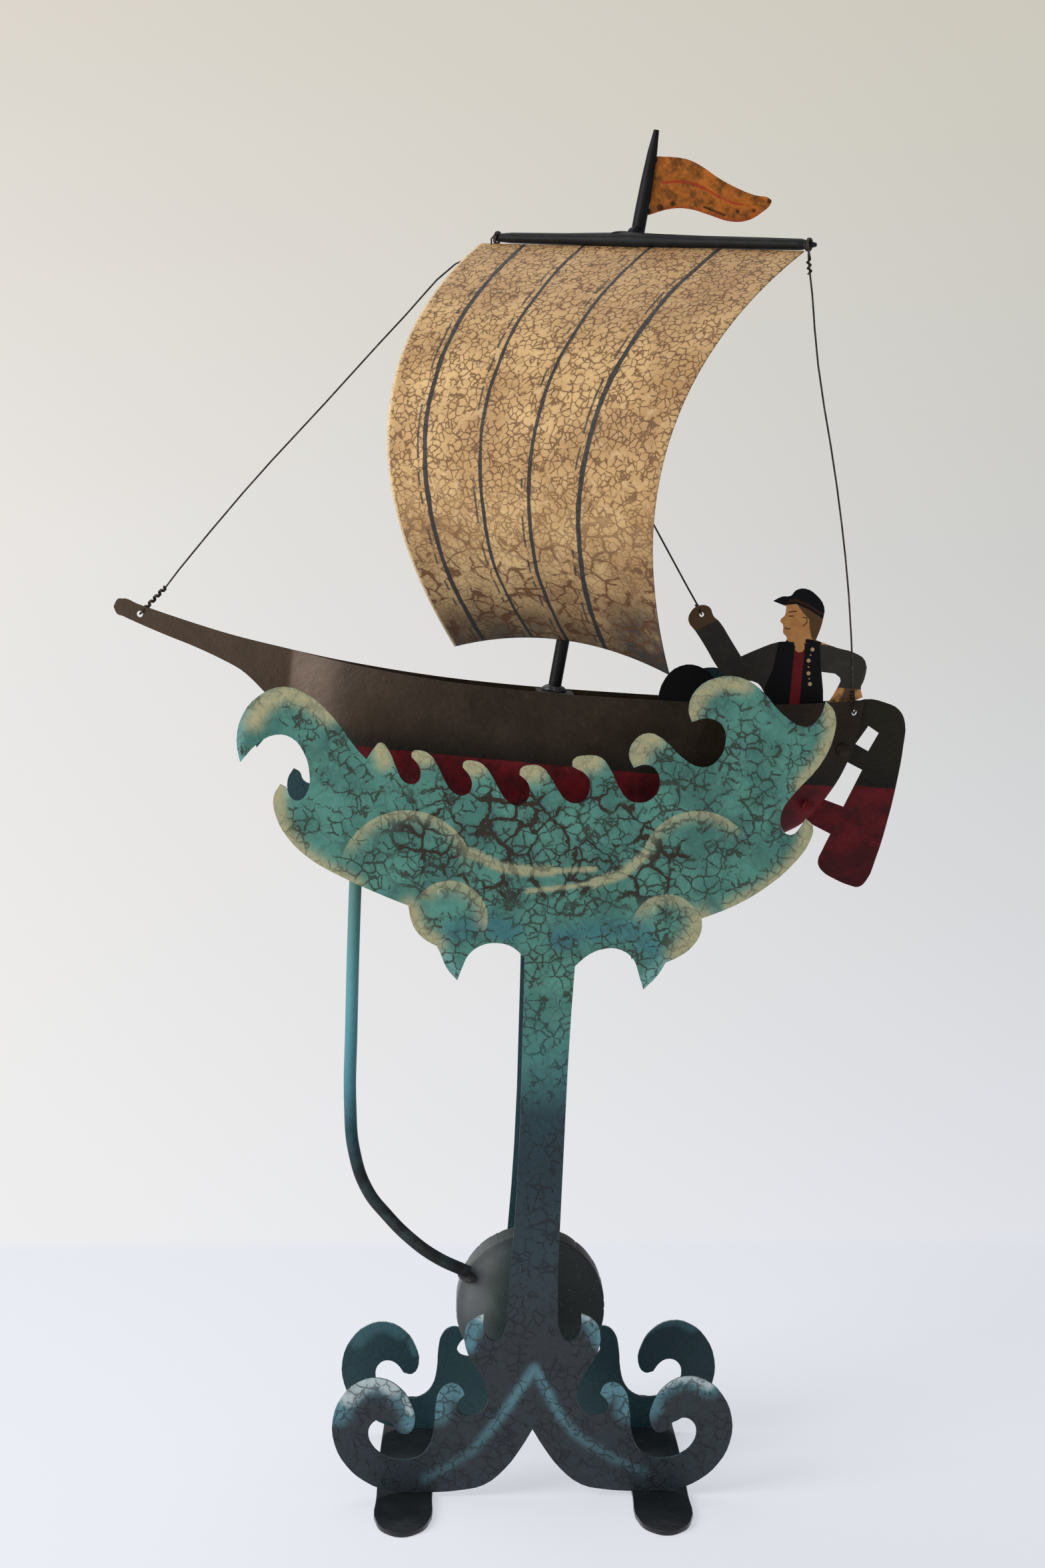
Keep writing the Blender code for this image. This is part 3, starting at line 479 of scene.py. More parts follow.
@dataclass(frozen=True)
class SeaPaint:
    """Turquoise crackle over brown, running into slate down the post and over the scrolled base."""

    turquoise: Colour = (0.086, 0.262, 0.205)
    pool: Colour = (0.046, 0.160, 0.130)
    cream: Colour = (0.430, 0.390, 0.215)
    undercoat: Colour = (0.026, 0.018, 0.010)
    pitch: Colour = (0.006, 0.007, 0.008)
    blue: Colour = (0.030, 0.150, 0.185)
    spray: Colour = (0.120, 0.290, 0.340)
    foam: Colour = (0.520, 0.600, 0.600)
    glint: Colour = (0.230, 0.480, 0.440)
    # Painted shade: the inner faces, which face each other between the plates, are painted much darker.
    inner: Colour = (0.012, 0.040, 0.052)
    slopes: tuple[tuple[float, Colour], ...] = (
        (0.0, (0.023, 0.032, 0.042)), (70.0, (0.027, 0.033, 0.040)), (105.0, (0.026, 0.044, 0.058)),
        (145.0, (0.013, 0.033, 0.044)), (168.0, (0.017, 0.048, 0.060)), (190.0, (0.060, 0.200, 0.182)),
        (225.0, (0.078, 0.215, 0.170)), (250.0, (0.080, 0.230, 0.180)))
    water: Point = (196.0, 226.0)
    heart_line: tuple[Point, ...] = ((-34.0, 284.0), (48.0, 284.0))
    heart_reach: Point = (40.0, 10.0)
    wide_cracks: tuple[float, float, float] = (10.0, 1.15, 0.44)
    fine_cracks: tuple[float, float, float] = (4.8, 0.50, 0.46)

    def material(self, name: str, rim: float = 0.0) -> bpy.types.Material:
        """Make the paint.

        Args:
            name: The material's name.
            rim: How much of the worn edge and its painted highlight shows, from 0 on a face to 1 on an edge.

        Returns:
            The material.
        """
        board = PaintBoard(name, Place.STAND)
        outside = abs(board.y).rise(PLATE_MIDDLE - 0.4, PLATE_MIDDLE + 0.2)
        sea = board.z.rise(*self.water)
        mottle = board.cloud(7.0, 5.0, 0.65)
        grain = board.cloud(1.8, 3.0, 0.7)
        heart = board.distance_to(self.heart_line).rise(*self.heart_reach)
        cream = board.brushed(CREAM_STROKES)
        for swirl in SWIRL_ARCS:
            cream = cream.highest(board.arc(swirl) * 0.9)
        cream = cream * cream
        cream = cream.highest(board.brushed(SWIRL_STROKES) * 0.85)
        colour = self.washes(board, sea, mottle, grain, heart)
        colour = board.mix(cream * (grain.rise(0.25, 0.6) * 0.4 + 0.58), colour, self.cream)
        foam = board.brushed(FOAM_STROKES)
        colour = board.mix(foam * (grain.rise(0.2, 0.6) * 0.4 + 0.5), colour, self.foam)
        crack, halo = self.cracks(board, sea, heart, cream)
        dirt = board.mix(sea, self.pitch, self.undercoat)
        colour = board.mix(halo, colour, dirt)
        colour = board.mix(crack, colour, dirt)
        # Painted shade between the plates: the inner faces are much darker than the outer ones, with lighter
        # patches at the scroll tops.
        shade = board.mix(board.cloud(30.0).rise(0.3, 0.8) * 0.15, self.inner, self.pool)
        shade = board.mix(foam * 0.3, shade, self.spray)
        colour = board.mix(outside, shade, colour)
        if rim:
            # The bevelled edges: partly worn paint and partly a painted highlight, lighter than the faces.
            worn = board.mix(cream, board.mix(sea, self.spray, self.glint), self.cream)
            colour = board.mix(board.cloud(7.0, 3.0).rise(0.3, 0.6) * rim, colour, worn)
        height = mottle * 0.3 - crack * 0.9 + grain * 0.3
        return board.coated(colour, mottle * 0.2 + 0.34, board.bump(height, 0.35),
                            Specular_IOR_Level=0.3, Coat_Weight=0.08, Coat_Roughness=0.25)

    def washes(self, board: PaintBoard, sea: Value, mottle: Value, grain: Value, heart: Value) -> Value:
        """The ground colours, from the foot's slate to the wave's turquoise, with dirt and blue."""
        colour = board.ramp(board.z, self.slopes[0][0], self.slopes[-1][0], self.slopes)
        patchy_sea = board.mix(board.cloud(20.0, 4.0).rise(0.34, 0.66), self.pool, self.turquoise)
        colour = board.mix(sea, colour, patchy_sea)
        colour = board.mix(mottle.rise(0.50, 0.75) * (heart * 0.25 + 0.14), colour, self.undercoat)
        colour = board.mix(grain.rise(0.50, 0.75) * (sea * 0.14 + 0.02), colour, self.glint)
        colour = board.mix(grain.rise(0.42, 0.22) * 0.25, colour, self.undercoat)
        colour = board.mix(board.brushed(BLUE_STROKES) * 0.6, colour, self.blue)
        spray = board.brushed(SPRAY_STROKES) * (grain.rise(0.2, 0.6) * 0.3 + 0.55)
        colour = board.mix(spray, colour, self.spray)
        fade = board.z.rise(2.0, 52.0) * 0.45 + 0.22
        streak = board.brushed(STREAK_STROKES)
        colour = board.mix(streak * streak * fade, colour, self.spray)
        # Painted highlights along the edges of the hollows and the fangs.
        return board.mix(board.brushed(CYAN_HIGHLIGHT_STROKES) * 0.55, colour, self.glint)

    def cracks(self, board: PaintBoard, sea: Value, heart: Value, cream: Value) -> tuple[Value, Value]:
        """The wide cracks over the wave's middle and the fine ones everywhere else."""
        wide, wide_halo = board.crackle(*self.wide_cracks)
        fine, fine_halo = board.crackle(*self.fine_cracks)
        share = heart.rise(0.1, 0.7)
        plain = (cream * -0.7 + 1.0) * (sea * 0.25 + 0.75)
        crack = (wide * (share * 0.8 + 0.2)).highest(fine * 0.8) * plain
        halo = (wide_halo * share * 0.30).highest(fine_halo * 0.14) * plain
        return crack, halo


@dataclass(frozen=True)
class HullPaint:
    """Satin brown above a hand-drawn waterline and red below it, on hammered sheet, with painted light
    towards the bow and on the facet aft of the crease.
    """

    brown: Colour = (0.024, 0.015, 0.008)
    # Dust specks, and the painted light towards the bow.
    dust_and_bow_light: Colour = (0.110, 0.074, 0.050)
    # A painted highlight on the facet aft of the crease, which turns towards the light.
    facet_highlight: Colour = (0.250, 0.180, 0.140)
    smoke: Colour = (0.010, 0.008, 0.006)
    red: Colour = (0.160, 0.010, 0.014)
    stain: Colour = (0.050, 0.008, 0.009)
    waterline: float = 49.6
    # Where the painted light towards the bow starts and where it is full.
    bow_light: Point = (-40.0, -125.0)
    facet_front: Point = (-120.0, -117.5)
    facet_back: Point = (-92.0, -108.0)
    streaks: tuple[Stroke, ...] = ()

    def material(self, name: str) -> bpy.types.Material:
        """Make the paint."""
        board = PaintBoard(name, Place.BOAT)
        patch = board.cloud(16.0, 4.0, 0.6)
        speck = board.cloud(2.2, 3.0, 0.7)
        # Painted light: the side grows lighter towards the bow, where the front plate and the sail no longer
        # shade it.
        forward = board.x.rise(*self.bow_light)
        colour = board.mix(patch.rise(0.35, 0.7) * 0.12 + forward * 0.55, self.brown, self.dust_and_bow_light)
        colour = board.mix(speck.rise(0.5, 0.8) * 0.16, colour, self.dust_and_bow_light)
        # Painted highlight: the facet aft of the crease is lighter, as it turns towards the light.
        facet_highlight = board.x.rise(*self.facet_front) * board.x.rise(*self.facet_back)
        colour = board.mix(facet_highlight * (patch * 0.5 + 0.25), colour, self.facet_highlight)
        over = board.z - self.waterline + board.cloud(6.0, 3.0) * 1.2 - 0.6
        colour = board.mix(over.rise(12.0, 0.0) * 0.7, colour, self.smoke)
        red = board.mix(board.cloud(11.0, 4.0, 0.65).rise(0.35, 0.72), self.red, self.stain)
        if self.streaks:
            red = board.mix(board.brushed(self.streaks) * 0.7, red, self.stain)
        colour = board.mix(over.rise(0.35, -0.35), colour, red)
        dents = board.cloud(1.4, 2.0).rise(0.62, 0.8)
        height = board.cloud(6.0, 3.0) * 0.9 + speck * 0.35 - dents * 0.35
        return board.coated(colour, patch * 0.2 + 0.36, board.bump(height, 0.6),
                            Specular_IOR_Level=0.16)


RUDDER_PAINT = HullPaint(
    brown=(0.020, 0.016, 0.009), dust_and_bow_light=(0.042, 0.033, 0.020), waterline=50.6,
    streaks=(Stroke(((122.0, 14.0), (140.0, 20.0)), 2.0, 5.0),
             Stroke(((130.0, 8.0), (140.0, 12.0)), 1.0, 5.0)))


@dataclass(frozen=True)
class SailPaint:
    """Beige crackle with four painted seams, each with a broken line of stitches beside it."""

    beige: Colour = (0.660, 0.435, 0.200)
    tan: Colour = (0.400, 0.228, 0.094)
    pale: Colour = (0.760, 0.600, 0.350)
    crack: Colour = (0.105, 0.042, 0.018)
    smoke: Colour = (0.045, 0.040, 0.034)
    seam: Colour = (0.022, 0.026, 0.030)
    at_yard: tuple[float, ...] = (0.149, 0.335, 0.545, 0.753)
    at_foot: tuple[float, ...] = (0.140, 0.366, 0.530, 0.707)
    widths: tuple[float, ...] = (2.1, 1.6, 1.7, 2.3)
    stitches_off: float = 3.3
    stitch_run: float = 7.0
    fine_cracks: tuple[float, float, float] = (3.1, 0.36, 0.42)
    wide_cracks: tuple[float, float, float] = (8.0, 0.95, 0.44)

    def material(self, name: str, top_width: float, foot_width: float) -> bpy.types.Material:
        """Make the paint.

        Args:
            name: The material's name.
            top_width: The sail's width at the yard.
            foot_width: Its width at the foot.

        Returns:
            The material.
        """
        board = PaintBoard(name, Place.BOAT)
        cloth = board.node("ShaderNodeUVMap", {"uv_map": "cloth"})
        cloth = board.node("ShaderNodeVectorMath", {"operation": "SCALE"}, {0: cloth, "Scale": 1.0 / MM})
        s, t, _ = board.parts_of(board.node("ShaderNodeUVMap", {"uv_map": "panel"}))
        width = t * (foot_width - top_width) + top_width
        patch = board.cloud(34.0, 4.0, 0.6, cloth)
        colour = board.mix(patch.rise(0.30, 0.66), self.tan, self.beige)
        colour = board.mix(board.cloud(5.0, 3.0, 0.65, cloth).rise(0.5, 0.72) * 0.35, colour, self.pale)
        foot_dusk = t.rise(0.60, 1.0) * 0.55 + t.rise(0.88, 1.0) * 0.40
        corner_dusk = s.rise(0.50, 0.94) * t.rise(0.76, 0.96) * 1.3
        dusk = foot_dusk.highest(corner_dusk).lowest(1.1)
        smoke = board.cloud(18.0, 4.0, 0.6, cloth).rise(-0.10, 0.62) * dusk
        colour = board.mix(t.rise(0.42, -0.05) * 0.55, colour, self.tan)
        colour = board.mix(s.rise(0.45, 1.0) * t.rise(0.10, 0.5) * 0.28, colour, self.tan)
        fine, fine_halo = board.crackle(*self.fine_cracks, cloth)
        wide, wide_halo = board.crackle(*self.wide_cracks, cloth)
        share = t.rise(0.5, 0.85)
        rest = 1.0 - share * 0.5
        crack = (fine * rest * 0.9).highest(wide * share)
        halo = (fine_halo * rest * 0.3).highest(wide_halo * share * 0.5)
        colour = board.mix(halo, colour, self.tan)
        colour = board.mix(smoke * 0.95, colour, self.smoke)
        colour = board.mix(crack * 0.88, colour, self.crack)
        colour = board.mix(self.ink(board, cloth, s, t, width) * 0.95, colour, self.seam)
        rim = (s * width).rise(1.6, 0.6) * 0.7
        colour = board.mix(rim, colour, self.pale)
        height = crack * -0.8 + board.cloud(2.0, 3.0, at=cloth) * 0.4
        return board.coated(colour, patch * 0.15 + 0.5, board.bump(height, 0.25),
                            Specular_IOR_Level=0.2)

    def ink(self, board: PaintBoard, cloth: Value, s: Value, t: Value, width: Value) -> Value:
        """The mask of the painted seams and of the stitches ahead of them.

        Args:
            board: The sail's board.
            cloth: The place on the flat sheet, in millimetres.
            s: The share of the way from luff to leech.
            t: The share of the way from yard to foot.
            width: The sheet's width there.

        Returns:
            The mask.
        """
        wobble = board.cloud(26.0, 2.0, at=cloth) * 1.6 - 0.8
        thick = board.cloud(14.0, 2.0, at=cloth) * 0.9 + 0.55
        down = board.parts_of(cloth)[1]
        ink: Value | None = None
        for index, (top, foot, broad) in enumerate(zip(self.at_yard, self.at_foot, self.widths)):
            off = (s - t * (foot - top) - top) * width + wobble
            half = thick * (0.5 * broad)
            line = abs(off).rise(half + 0.18, half - 0.12)
            dash = board.cloud(self.stitch_run, 0.0, at=board.joined(13.0 * index, down, 5.0))
            stitch = abs(off + self.stitches_off).rise(0.62, 0.34) * dash.rise(0.47, 0.52)
            both = line.highest(stitch * t.rise(0.03, 0.12) * 0.85)
            ink = both if ink is None else ink.highest(both)
        return ink


@dataclass(frozen=True)
class FigurePaint:
    """The fisherman's painted dress: grey sleeves, black waistcoat, red shirt, cap and gold buttons."""

    sleeve: Colour = (0.046, 0.042, 0.034)
    cloth_edge: Colour = (0.078, 0.070, 0.054)
    black: Colour = (0.006, 0.006, 0.007)
    shirt: Colour = (0.190, 0.014, 0.018)
    skin: Colour = (0.760, 0.360, 0.120)
    blush: Colour = (0.500, 0.165, 0.055)
    hair: Colour = (0.150, 0.075, 0.026)
    glove: Colour = (0.130, 0.080, 0.042)
    gold: Colour = (0.700, 0.460, 0.200)
    line: Colour = (0.035, 0.018, 0.012)
    knee: Point = (55.4, 82.8)
    knee_radius: float = 16.4
    lap_top: float = 86.0
    lap_back: float = 112.8
    vest_front: tuple[Point, ...] = (
        (60.0, 86.5), (84.0, 86.5), (90.0, 87.0), (98.6, 89.8), (112.0, 91.2))
    vest_back: tuple[Point, ...] = ((60.0, 114.0), (86.0, 113.4), (99.0, 110.8), (112.0, 109.0))
    shirt_span: Point = (98.3, 102.7)
    shirt_top: float = 110.2
    buttons: tuple[Point, ...] = ((106.1, 108.2), (104.9, 103.2), (105.4, 97.7), (106.5, 93.1))
    collars: tuple[Stroke, ...] = (Stroke(((103.6, 111.6), (108.6, 111.2)), 0.8, 0.4),
                                   Stroke(((93.4, 110.6), (97.4, 108.4)), 0.9, 0.4))
    chin_z: float = 110.7
    face_front: float = 89.5
    neck: Stroke = Stroke(((99.6, 113.0), (100.4, 108.6)), 1.9, 0.5)
    cheek: Stroke = Stroke(((96.8, 118.6),), 0.3, 2.2)
    features: tuple[Stroke, ...] = (
        Stroke(((94.6, 121.7), (96.3, 121.9)), 0.12, 0.35),
        Stroke(((94.4, 123.5), (97.4, 124.0)), 0.14, 0.35),
        Stroke(((93.2, 116.4), (95.6, 116.1)), 0.1, 0.3),
        Stroke(((100.6, 121.6), (102.2, 121.8), (102.6, 119.8), (101.2, 118.0)), 0.1, 0.35))
    hairline: tuple[Point, ...] = (
        (111.4, 107.4), (113.0, 105.2), (117.0, 104.0), (121.0, 103.4), (123.4, 100.8),
        (126.0, 98.4), (128.0, 97.4))
    nape_z: float = 111.9
    brim: tuple[Point, ...] = ((84.0, 126.4), (92.0, 126.2), (97.0, 127.2), (103.0, 125.2), (111.0, 121.0))
    band: Point = (1.1, 2.2)
    band_front: float = 94.0
    cuff: Point = (54.7, 111.8)
    cuff_facing: Point = (-0.537, 0.843)
    forearm_x: float = 66.5
    rear_hand: Point = (114.8, 92.7)

    def material(self, name: str) -> bpy.types.Material:
        """Make the paint."""
        board = PaintBoard(name, Place.BOAT)
        fine = board.cloud(1.6, 3.0, 0.65)
        patch = board.cloud(6.0, 3.0)
        colour = self.clothes(board, patch)
        colour = self.head(board, colour)
        colour = self.hands(board, colour, patch)
        colour = self.trimmings(board, colour)
        height = fine * 0.6 + patch * 0.3
        return board.coated(colour, fine * 0.15 + 0.48, board.bump(height, 0.15),
                            Specular_IOR_Level=0.15)

    def clothes(self, board: PaintBoard, patch: Value) -> Value:
        """Grey sleeves, black lap and waistcoat and the strip of shirt between its fronts."""
        x, z = board.x, board.z
        colour = board.mix(patch.rise(0.4, 0.75) * 0.5, self.sleeve, self.cloth_edge)
        lap = board.distance_to((self.knee,)).before(self.knee_radius)
        lap = lap.highest(z.before(self.lap_top) * x.before(self.lap_back))
        colour = board.mix(lap, colour, self.black)
        front = (x - board.profile(z, self.vest_front)).past(0.0)
        back = (board.profile(z, self.vest_back) - x).past(0.0)
        colour = board.mix(front * back, colour, self.black)
        strip = x.past(self.shirt_span[0]) * x.before(self.shirt_span[1]) * z.before(self.shirt_top, 0.4)
        return board.mix(strip, colour, self.shirt)

    def head(self, board: PaintBoard, colour: Value) -> Value:
        """Face, neck, collar, hair and cap over a colour."""
        x, z = board.x, board.z
        face = (z.past(self.chin_z, 0.3) * x.past(self.face_front, 0.5)).highest(board.brushed((self.neck,)))
        skin = board.mix(board.cloud(4.0, 2.0).rise(0.4, 0.7) * 0.35, self.skin, self.blush)
        skin = board.mix(board.brushed((self.cheek,)) * 0.45, skin, self.blush)
        skin = board.mix(board.brushed(self.features) * 0.85, skin, self.line)
        colour = board.mix(face, colour, skin)
        colour = board.mix(board.brushed(self.collars), colour, self.black)
        hair = (x - board.profile(z, self.hairline)).past(0.0, 0.3) * z.past(self.nape_z, 0.3)
        strands = board.cloud(1.0, 2.0, at=board.joined(x, 0.0, z * 0.35)).rise(0.4, 0.7) * 0.5
        colour = board.mix(hair, colour, board.mix(strands, self.hair, self.glove))
        over = z - board.profile(x, self.brim)
        cap = over.past(0.0) * x.past(self.brim[0][0] + 0.5, 0.5)
        band = over.before(self.band[1]) * over.past(self.band[0]) * x.past(self.band_front, 0.5) * 0.1
        return board.mix(cap, colour, board.mix(band, self.black, self.blush))

    def hands(self, board: PaintBoard, colour: Value, patch: Value) -> Value:
        """The raised fist and the hand on the gunwale over a colour."""
        x, z = board.x, board.z
        out = (x - self.cuff[0]) * self.cuff_facing[0] + (z - self.cuff[1]) * self.cuff_facing[1]
        palm = board.mix(patch.rise(0.35, 0.65), self.glove, self.hair)
        colour = board.mix(out.past(0.0) * x.before(self.forearm_x, 0.5), colour, palm)
        rear = z.before(self.rear_hand[1]) * x.past(self.rear_hand[0])
        return board.mix(rear, colour, board.mix(patch.rise(0.4, 0.6), self.glove, self.skin))

    def trimmings(self, board: PaintBoard, colour: Value) -> Value:
        """The buttons, with a small dot between each two, over a colour."""
        for centre in self.buttons:
            away = board.distance_to((centre,))
            colour = board.mix(away.before(1.15, 0.1) * 0.6, colour, self.line)
            colour = board.mix(away.before(0.85, 0.1), colour, self.gold)
        dots = [Stroke((((a[0] + b[0]) / 2, (a[1] + b[1]) / 2),), 0.2, 0.3)
                for a, b in zip(self.buttons, self.buttons[1:])]
        return board.mix(board.brushed(dots) * 0.8, colour, self.gold)


@dataclass(frozen=True)
class PennantPaint:
    """Mottled ochre with a thin red wave down its middle and a few dark spots."""

    ochre: Colour = (0.500, 0.145, 0.020)
    brown: Colour = (0.160, 0.058, 0.014)
    gold: Colour = (0.600, 0.220, 0.034)
    red: Colour = (0.400, 0.025, 0.015)
    black: Colour = (0.012, 0.008, 0.006)
    wave: Stroke = Stroke(((22.5, 301.0), (28.0, 302.2), (34.0, 302.4), (40.0, 300.6), (47.0, 297.4),
                           (53.0, 295.4), (60.0, 294.8)), 0.15, 0.7)
    hem: Stroke = Stroke(((19.0, 287.0), (27.0, 290.6), (35.0, 291.2), (44.0, 289.4), (52.6, 287.6),
                          (60.0, 288.6), (66.0, 292.6)), 0.1, 1.6)
    spots: tuple[Stroke, ...] = (
        Stroke(((22.4, 290.6),), 0.8, 1.4), Stroke(((27.6, 292.8),), 0.6, 1.2),
        Stroke(((55.5, 292.0),), 0.3, 1.2), Stroke(((62.5, 293.0),), 0.3, 1.2),
        Stroke(((68.8, 297.6),), 0.6, 1.2), Stroke(((41.0, 292.6), (50.0, 290.0)), 0.1, 0.8))

    def material(self, name: str) -> bpy.types.Material:
        """Make the paint."""
        board = PaintBoard(name, Place.BOAT)
        patch = board.cloud(6.5, 4.0, 0.65)
        colour = board.mix(patch.rise(0.34, 0.62), self.brown, self.ochre)
        hoist = board.x.rise(42.0, 20.0) * 0.45
        colour = board.mix(hoist * board.cloud(4.0, 3.0).rise(0.35, 0.6), colour, self.brown)
        colour = board.mix(board.cloud(3.0, 2.0).rise(0.52, 0.75) * 0.6, colour, self.gold)
        wave = board.brushed((self.wave,)) * board.cloud(5.0).rise(0.3, 0.5)
        colour = board.mix(wave * 0.8, colour, self.red)
        colour = board.mix(board.brushed((self.hem,)) * 0.45, colour, self.red)
        colour = board.mix(board.brushed(self.spots) * 0.85, colour, self.black)
        return board.coated(colour, patch * 0.2 + 0.42, board.bump(patch * 0.8, 0.2),
                            Specular_IOR_Level=0.15)


@dataclass(frozen=True)
class SparPaint:
    """Charcoal paint over forged rod, or the same run out from turquoise down a rod."""

    base: Colour = (0.008, 0.008, 0.008)
    light: Colour = (0.022, 0.021, 0.022)
    fades: tuple[tuple[float, Colour], ...] = ()
    roughness: float = 0.40

    def material(self, name: str) -> bpy.types.Material:
        """Make the paint."""
        board = PaintBoard(name, Place.BOAT)
        patch = board.cloud(7.0, 4.0, 0.6)
        scuff = board.cloud(2.0, 3.0, 0.7)
        base: Any = self.base
        worn: Any = self.light
        if self.fades:
            base = board.ramp(board.z, self.fades[0][0], self.fades[-1][0], self.fades)
            worn = board.mix(0.3, base, self.light)
        colour = board.mix(patch.rise(0.4, 0.75) * 0.5 + scuff.rise(0.6, 0.8) * 0.3, base, worn)
        height = patch * 0.8 + scuff * 0.35
        return board.coated(colour, scuff * 0.2 + self.roughness, board.bump(height, 0.35),
                            Specular_IOR_Level=0.14)


@dataclass(frozen=True)
class DiscPaint:
    """Thin grey-brown paint over a heavy disc, brushed dark green-black down its middle, with painted light
    and shade.
    """

    # grey: the disc's lighter paint and its painted reflection on the left; dark: its painted shade on the
    # right and at the rim.
    grey: Colour = (0.190, 0.205, 0.208)
    dark: Colour = (0.018, 0.022, 0.022)
    green: Colour = (0.020, 0.040, 0.036)

    def material(self, name: str) -> bpy.types.Material:
        """Make the paint."""
        board = PaintBoard(name, Place.BOAT)
        patch = board.cloud(14.0, 4.0, 0.6)
        fine = board.cloud(2.2, 3.0, 0.7)
        across = board.x + patch * 14.0
        # Painted light: a painted reflection makes the left of the flat face light grey, and painted shade
        # makes the right dark.
        colour = board.mix(across.rise(-16.0, 22.0), self.grey, self.dark)
        colour = board.mix(across.rise(-8.0, 8.0) * across.rise(26.0, 12.0) * 0.7, colour, self.green)
        # Painted shade: darker and greener towards the bottom.
        colour = board.mix(board.z.rise(-190.0, -218.0) * 0.8, colour, self.green)
        colour = board.mix(fine.rise(0.55, 0.8) * 0.22, colour, self.grey)
        # Painted shade on the rounded rim, which the light would otherwise brighten.
        rim = board.distance_to((DISC_MIDDLE,)).rise(27.0, 31.0)
        colour = board.mix(rim * 0.3, colour, self.dark)
        height = patch * 0.7 + fine * 0.4
        return board.coated(colour, patch * 0.2 + 0.4, board.bump(height, 0.3), Specular_IOR_Level=0.3)


@dataclass(frozen=True)
class StrapPaint:
    """Gloss black dipped paint with small bubbles and dust."""

    black: Colour = (0.012, 0.014, 0.016)
    dust: Colour = (0.090, 0.100, 0.105)

    def material(self, name: str) -> bpy.types.Material:
        """Make the paint."""
        board = PaintBoard(name, Place.STAND)
        dust = board.cloud(1.3, 2.0, 0.8).rise(0.66, 0.78)
        haze = board.cloud(12.0, 3.0)
        colour = board.mix(dust * 0.5 + haze.rise(0.4, 0.8) * 0.1, self.black, self.dust)
        height = board.cloud(5.0, 2.0) + dust * 0.4
        return board.coated(colour, haze * 0.12 + 0.18, board.bump(height, 0.25),
                            Specular_IOR_Level=0.4)


@dataclass(frozen=True)
class MetalFinish:
    """Bare metal: dark annealed wire, turned steel or a bead of solder."""

    shade: Colour
    light: Colour
    metallic: float
    roughness: float
    size: float = 3.0

    def material(self, name: str) -> bpy.types.Material:
        """Make the finish."""
        board = PaintBoard(name, Place.BOAT)
        worn = board.cloud(self.size, 4.0, 0.65)
        colour = board.mix(worn.rise(0.42, 0.68), self.shade, self.light)
        return board.coated(colour, worn * 0.25 + self.roughness, board.bump(worn, 0.12),
                            Metallic=self.metallic)


WIRE = MetalFinish((0.035, 0.028, 0.022), (0.110, 0.090, 0.070), 0.75, 0.32)
SOLDER = MetalFinish((0.030, 0.030, 0.032), (0.100, 0.098, 0.096), 0.25, 0.30, 2.0)
STEEL = MetalFinish((0.150, 0.145, 0.140), (0.320, 0.315, 0.310), 1.0, 0.28, 5.0)


# ------------------------------------------------------------------------------------- metalworking

def drop_selection() -> None:
    """Deselect every object."""
    bpy.ops.object.select_all(action="DESELECT")


def take_up(piece: bpy.types.Object) -> None:
    """Make a piece the only selected and the active one."""
    drop_selection()
    piece.select_set(True)
    bpy.context.view_layer.objects.active = piece


def edit(piece: bpy.types.Object, *steps: Callable[[], Any]) -> None:
    """Run operators on a whole piece in edit mode, with everything selected at the start."""
    take_up(piece)
    bpy.ops.object.mode_set(mode="EDIT")
    bpy.ops.mesh.select_all(action="SELECT")
    for step in steps:
        step()
    bpy.ops.object.mode_set(mode="OBJECT")


def apply_all(piece: bpy.types.Object) -> None:
    """Apply a piece's modifiers in order."""
    take_up(piece)
    for modifier in list(piece.modifiers):
        bpy.ops.object.modifier_apply(modifier=modifier.name)


def ease(piece: bpy.types.Object, degrees: float = 38.0) -> None:
    """Shade a piece smooth, with its sharp edges kept."""
    take_up(piece)
    bpy.ops.object.shade_smooth_by_angle(angle=math.radians(degrees))


def settle(piece: bpy.types.Object, place: Place) -> None:
    """Put a piece drawn in millimetres where it belongs, with its place in its mesh."""
    piece.data.transform(place.matrix)
    piece.matrix_world = Matrix.Identity(4)
    piece.data.update()


def dress(piece: bpy.types.Object, body: str, slot: str, *materials: bpy.types.Material,
          replaces: str | None = None) -> bpy.types.Object:
    """Paint a finished piece, hang it on its body and report it.

    Args:
        piece: The piece, in place.
        body: The body it moves with.
        slot: The record's material slot; not used.
        materials: Its materials in slot order.
        replaces: The frame node that it stands for.

    Returns:
        The piece.
    """
    piece.data.materials.clear()
    for material in materials:
        piece.data.materials.append(material)
    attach(piece, body)
    if replaces:
        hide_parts(replaces)
    log.info("%s rides on %s with %d faces", piece.name, body, len(piece.data.polygons))
    return piece


def worked_copy(node: str, name: str, edge: float, rim_slot: int = 0) -> bpy.types.Object:
    """Copy a frame node, join its triangles up and round its edges.

    Args:
        node: The frame node.
        name: The copy's name.
        edge: The width of the rounding.
        rim_slot: The material slot of the rounded edges.

    Returns:
        The copy.
    """
    take_up(frame["nodes"][node])
    bpy.ops.object.duplicate()
    piece = bpy.context.active_object
    piece.name = name
    piece.parent = None
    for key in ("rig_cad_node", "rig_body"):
        del piece[key]
    bpy.ops.mesh.customdata_custom_splitnormals_clear()
    edit(piece, lambda: bpy.ops.mesh.remove_doubles(threshold=MERGE_M),
         lambda: bpy.ops.mesh.dissolve_limited(angle_limit=math.radians(0.5)),
         lambda: bpy.ops.mesh.select_all(action="DESELECT"),
         lambda: bpy.ops.mesh.edges_select_sharp(sharpness=CORNER),
         lambda: bpy.ops.mesh.bevel(offset=edge * MM, segments=2, profile=0.6, clamp_overlap=True,
                                    material=rim_slot))
    ease(piece)
    piece.modifiers.new("flats", "WEIGHTED_NORMAL").keep_sharp = True
    apply_all(piece)
    return piece


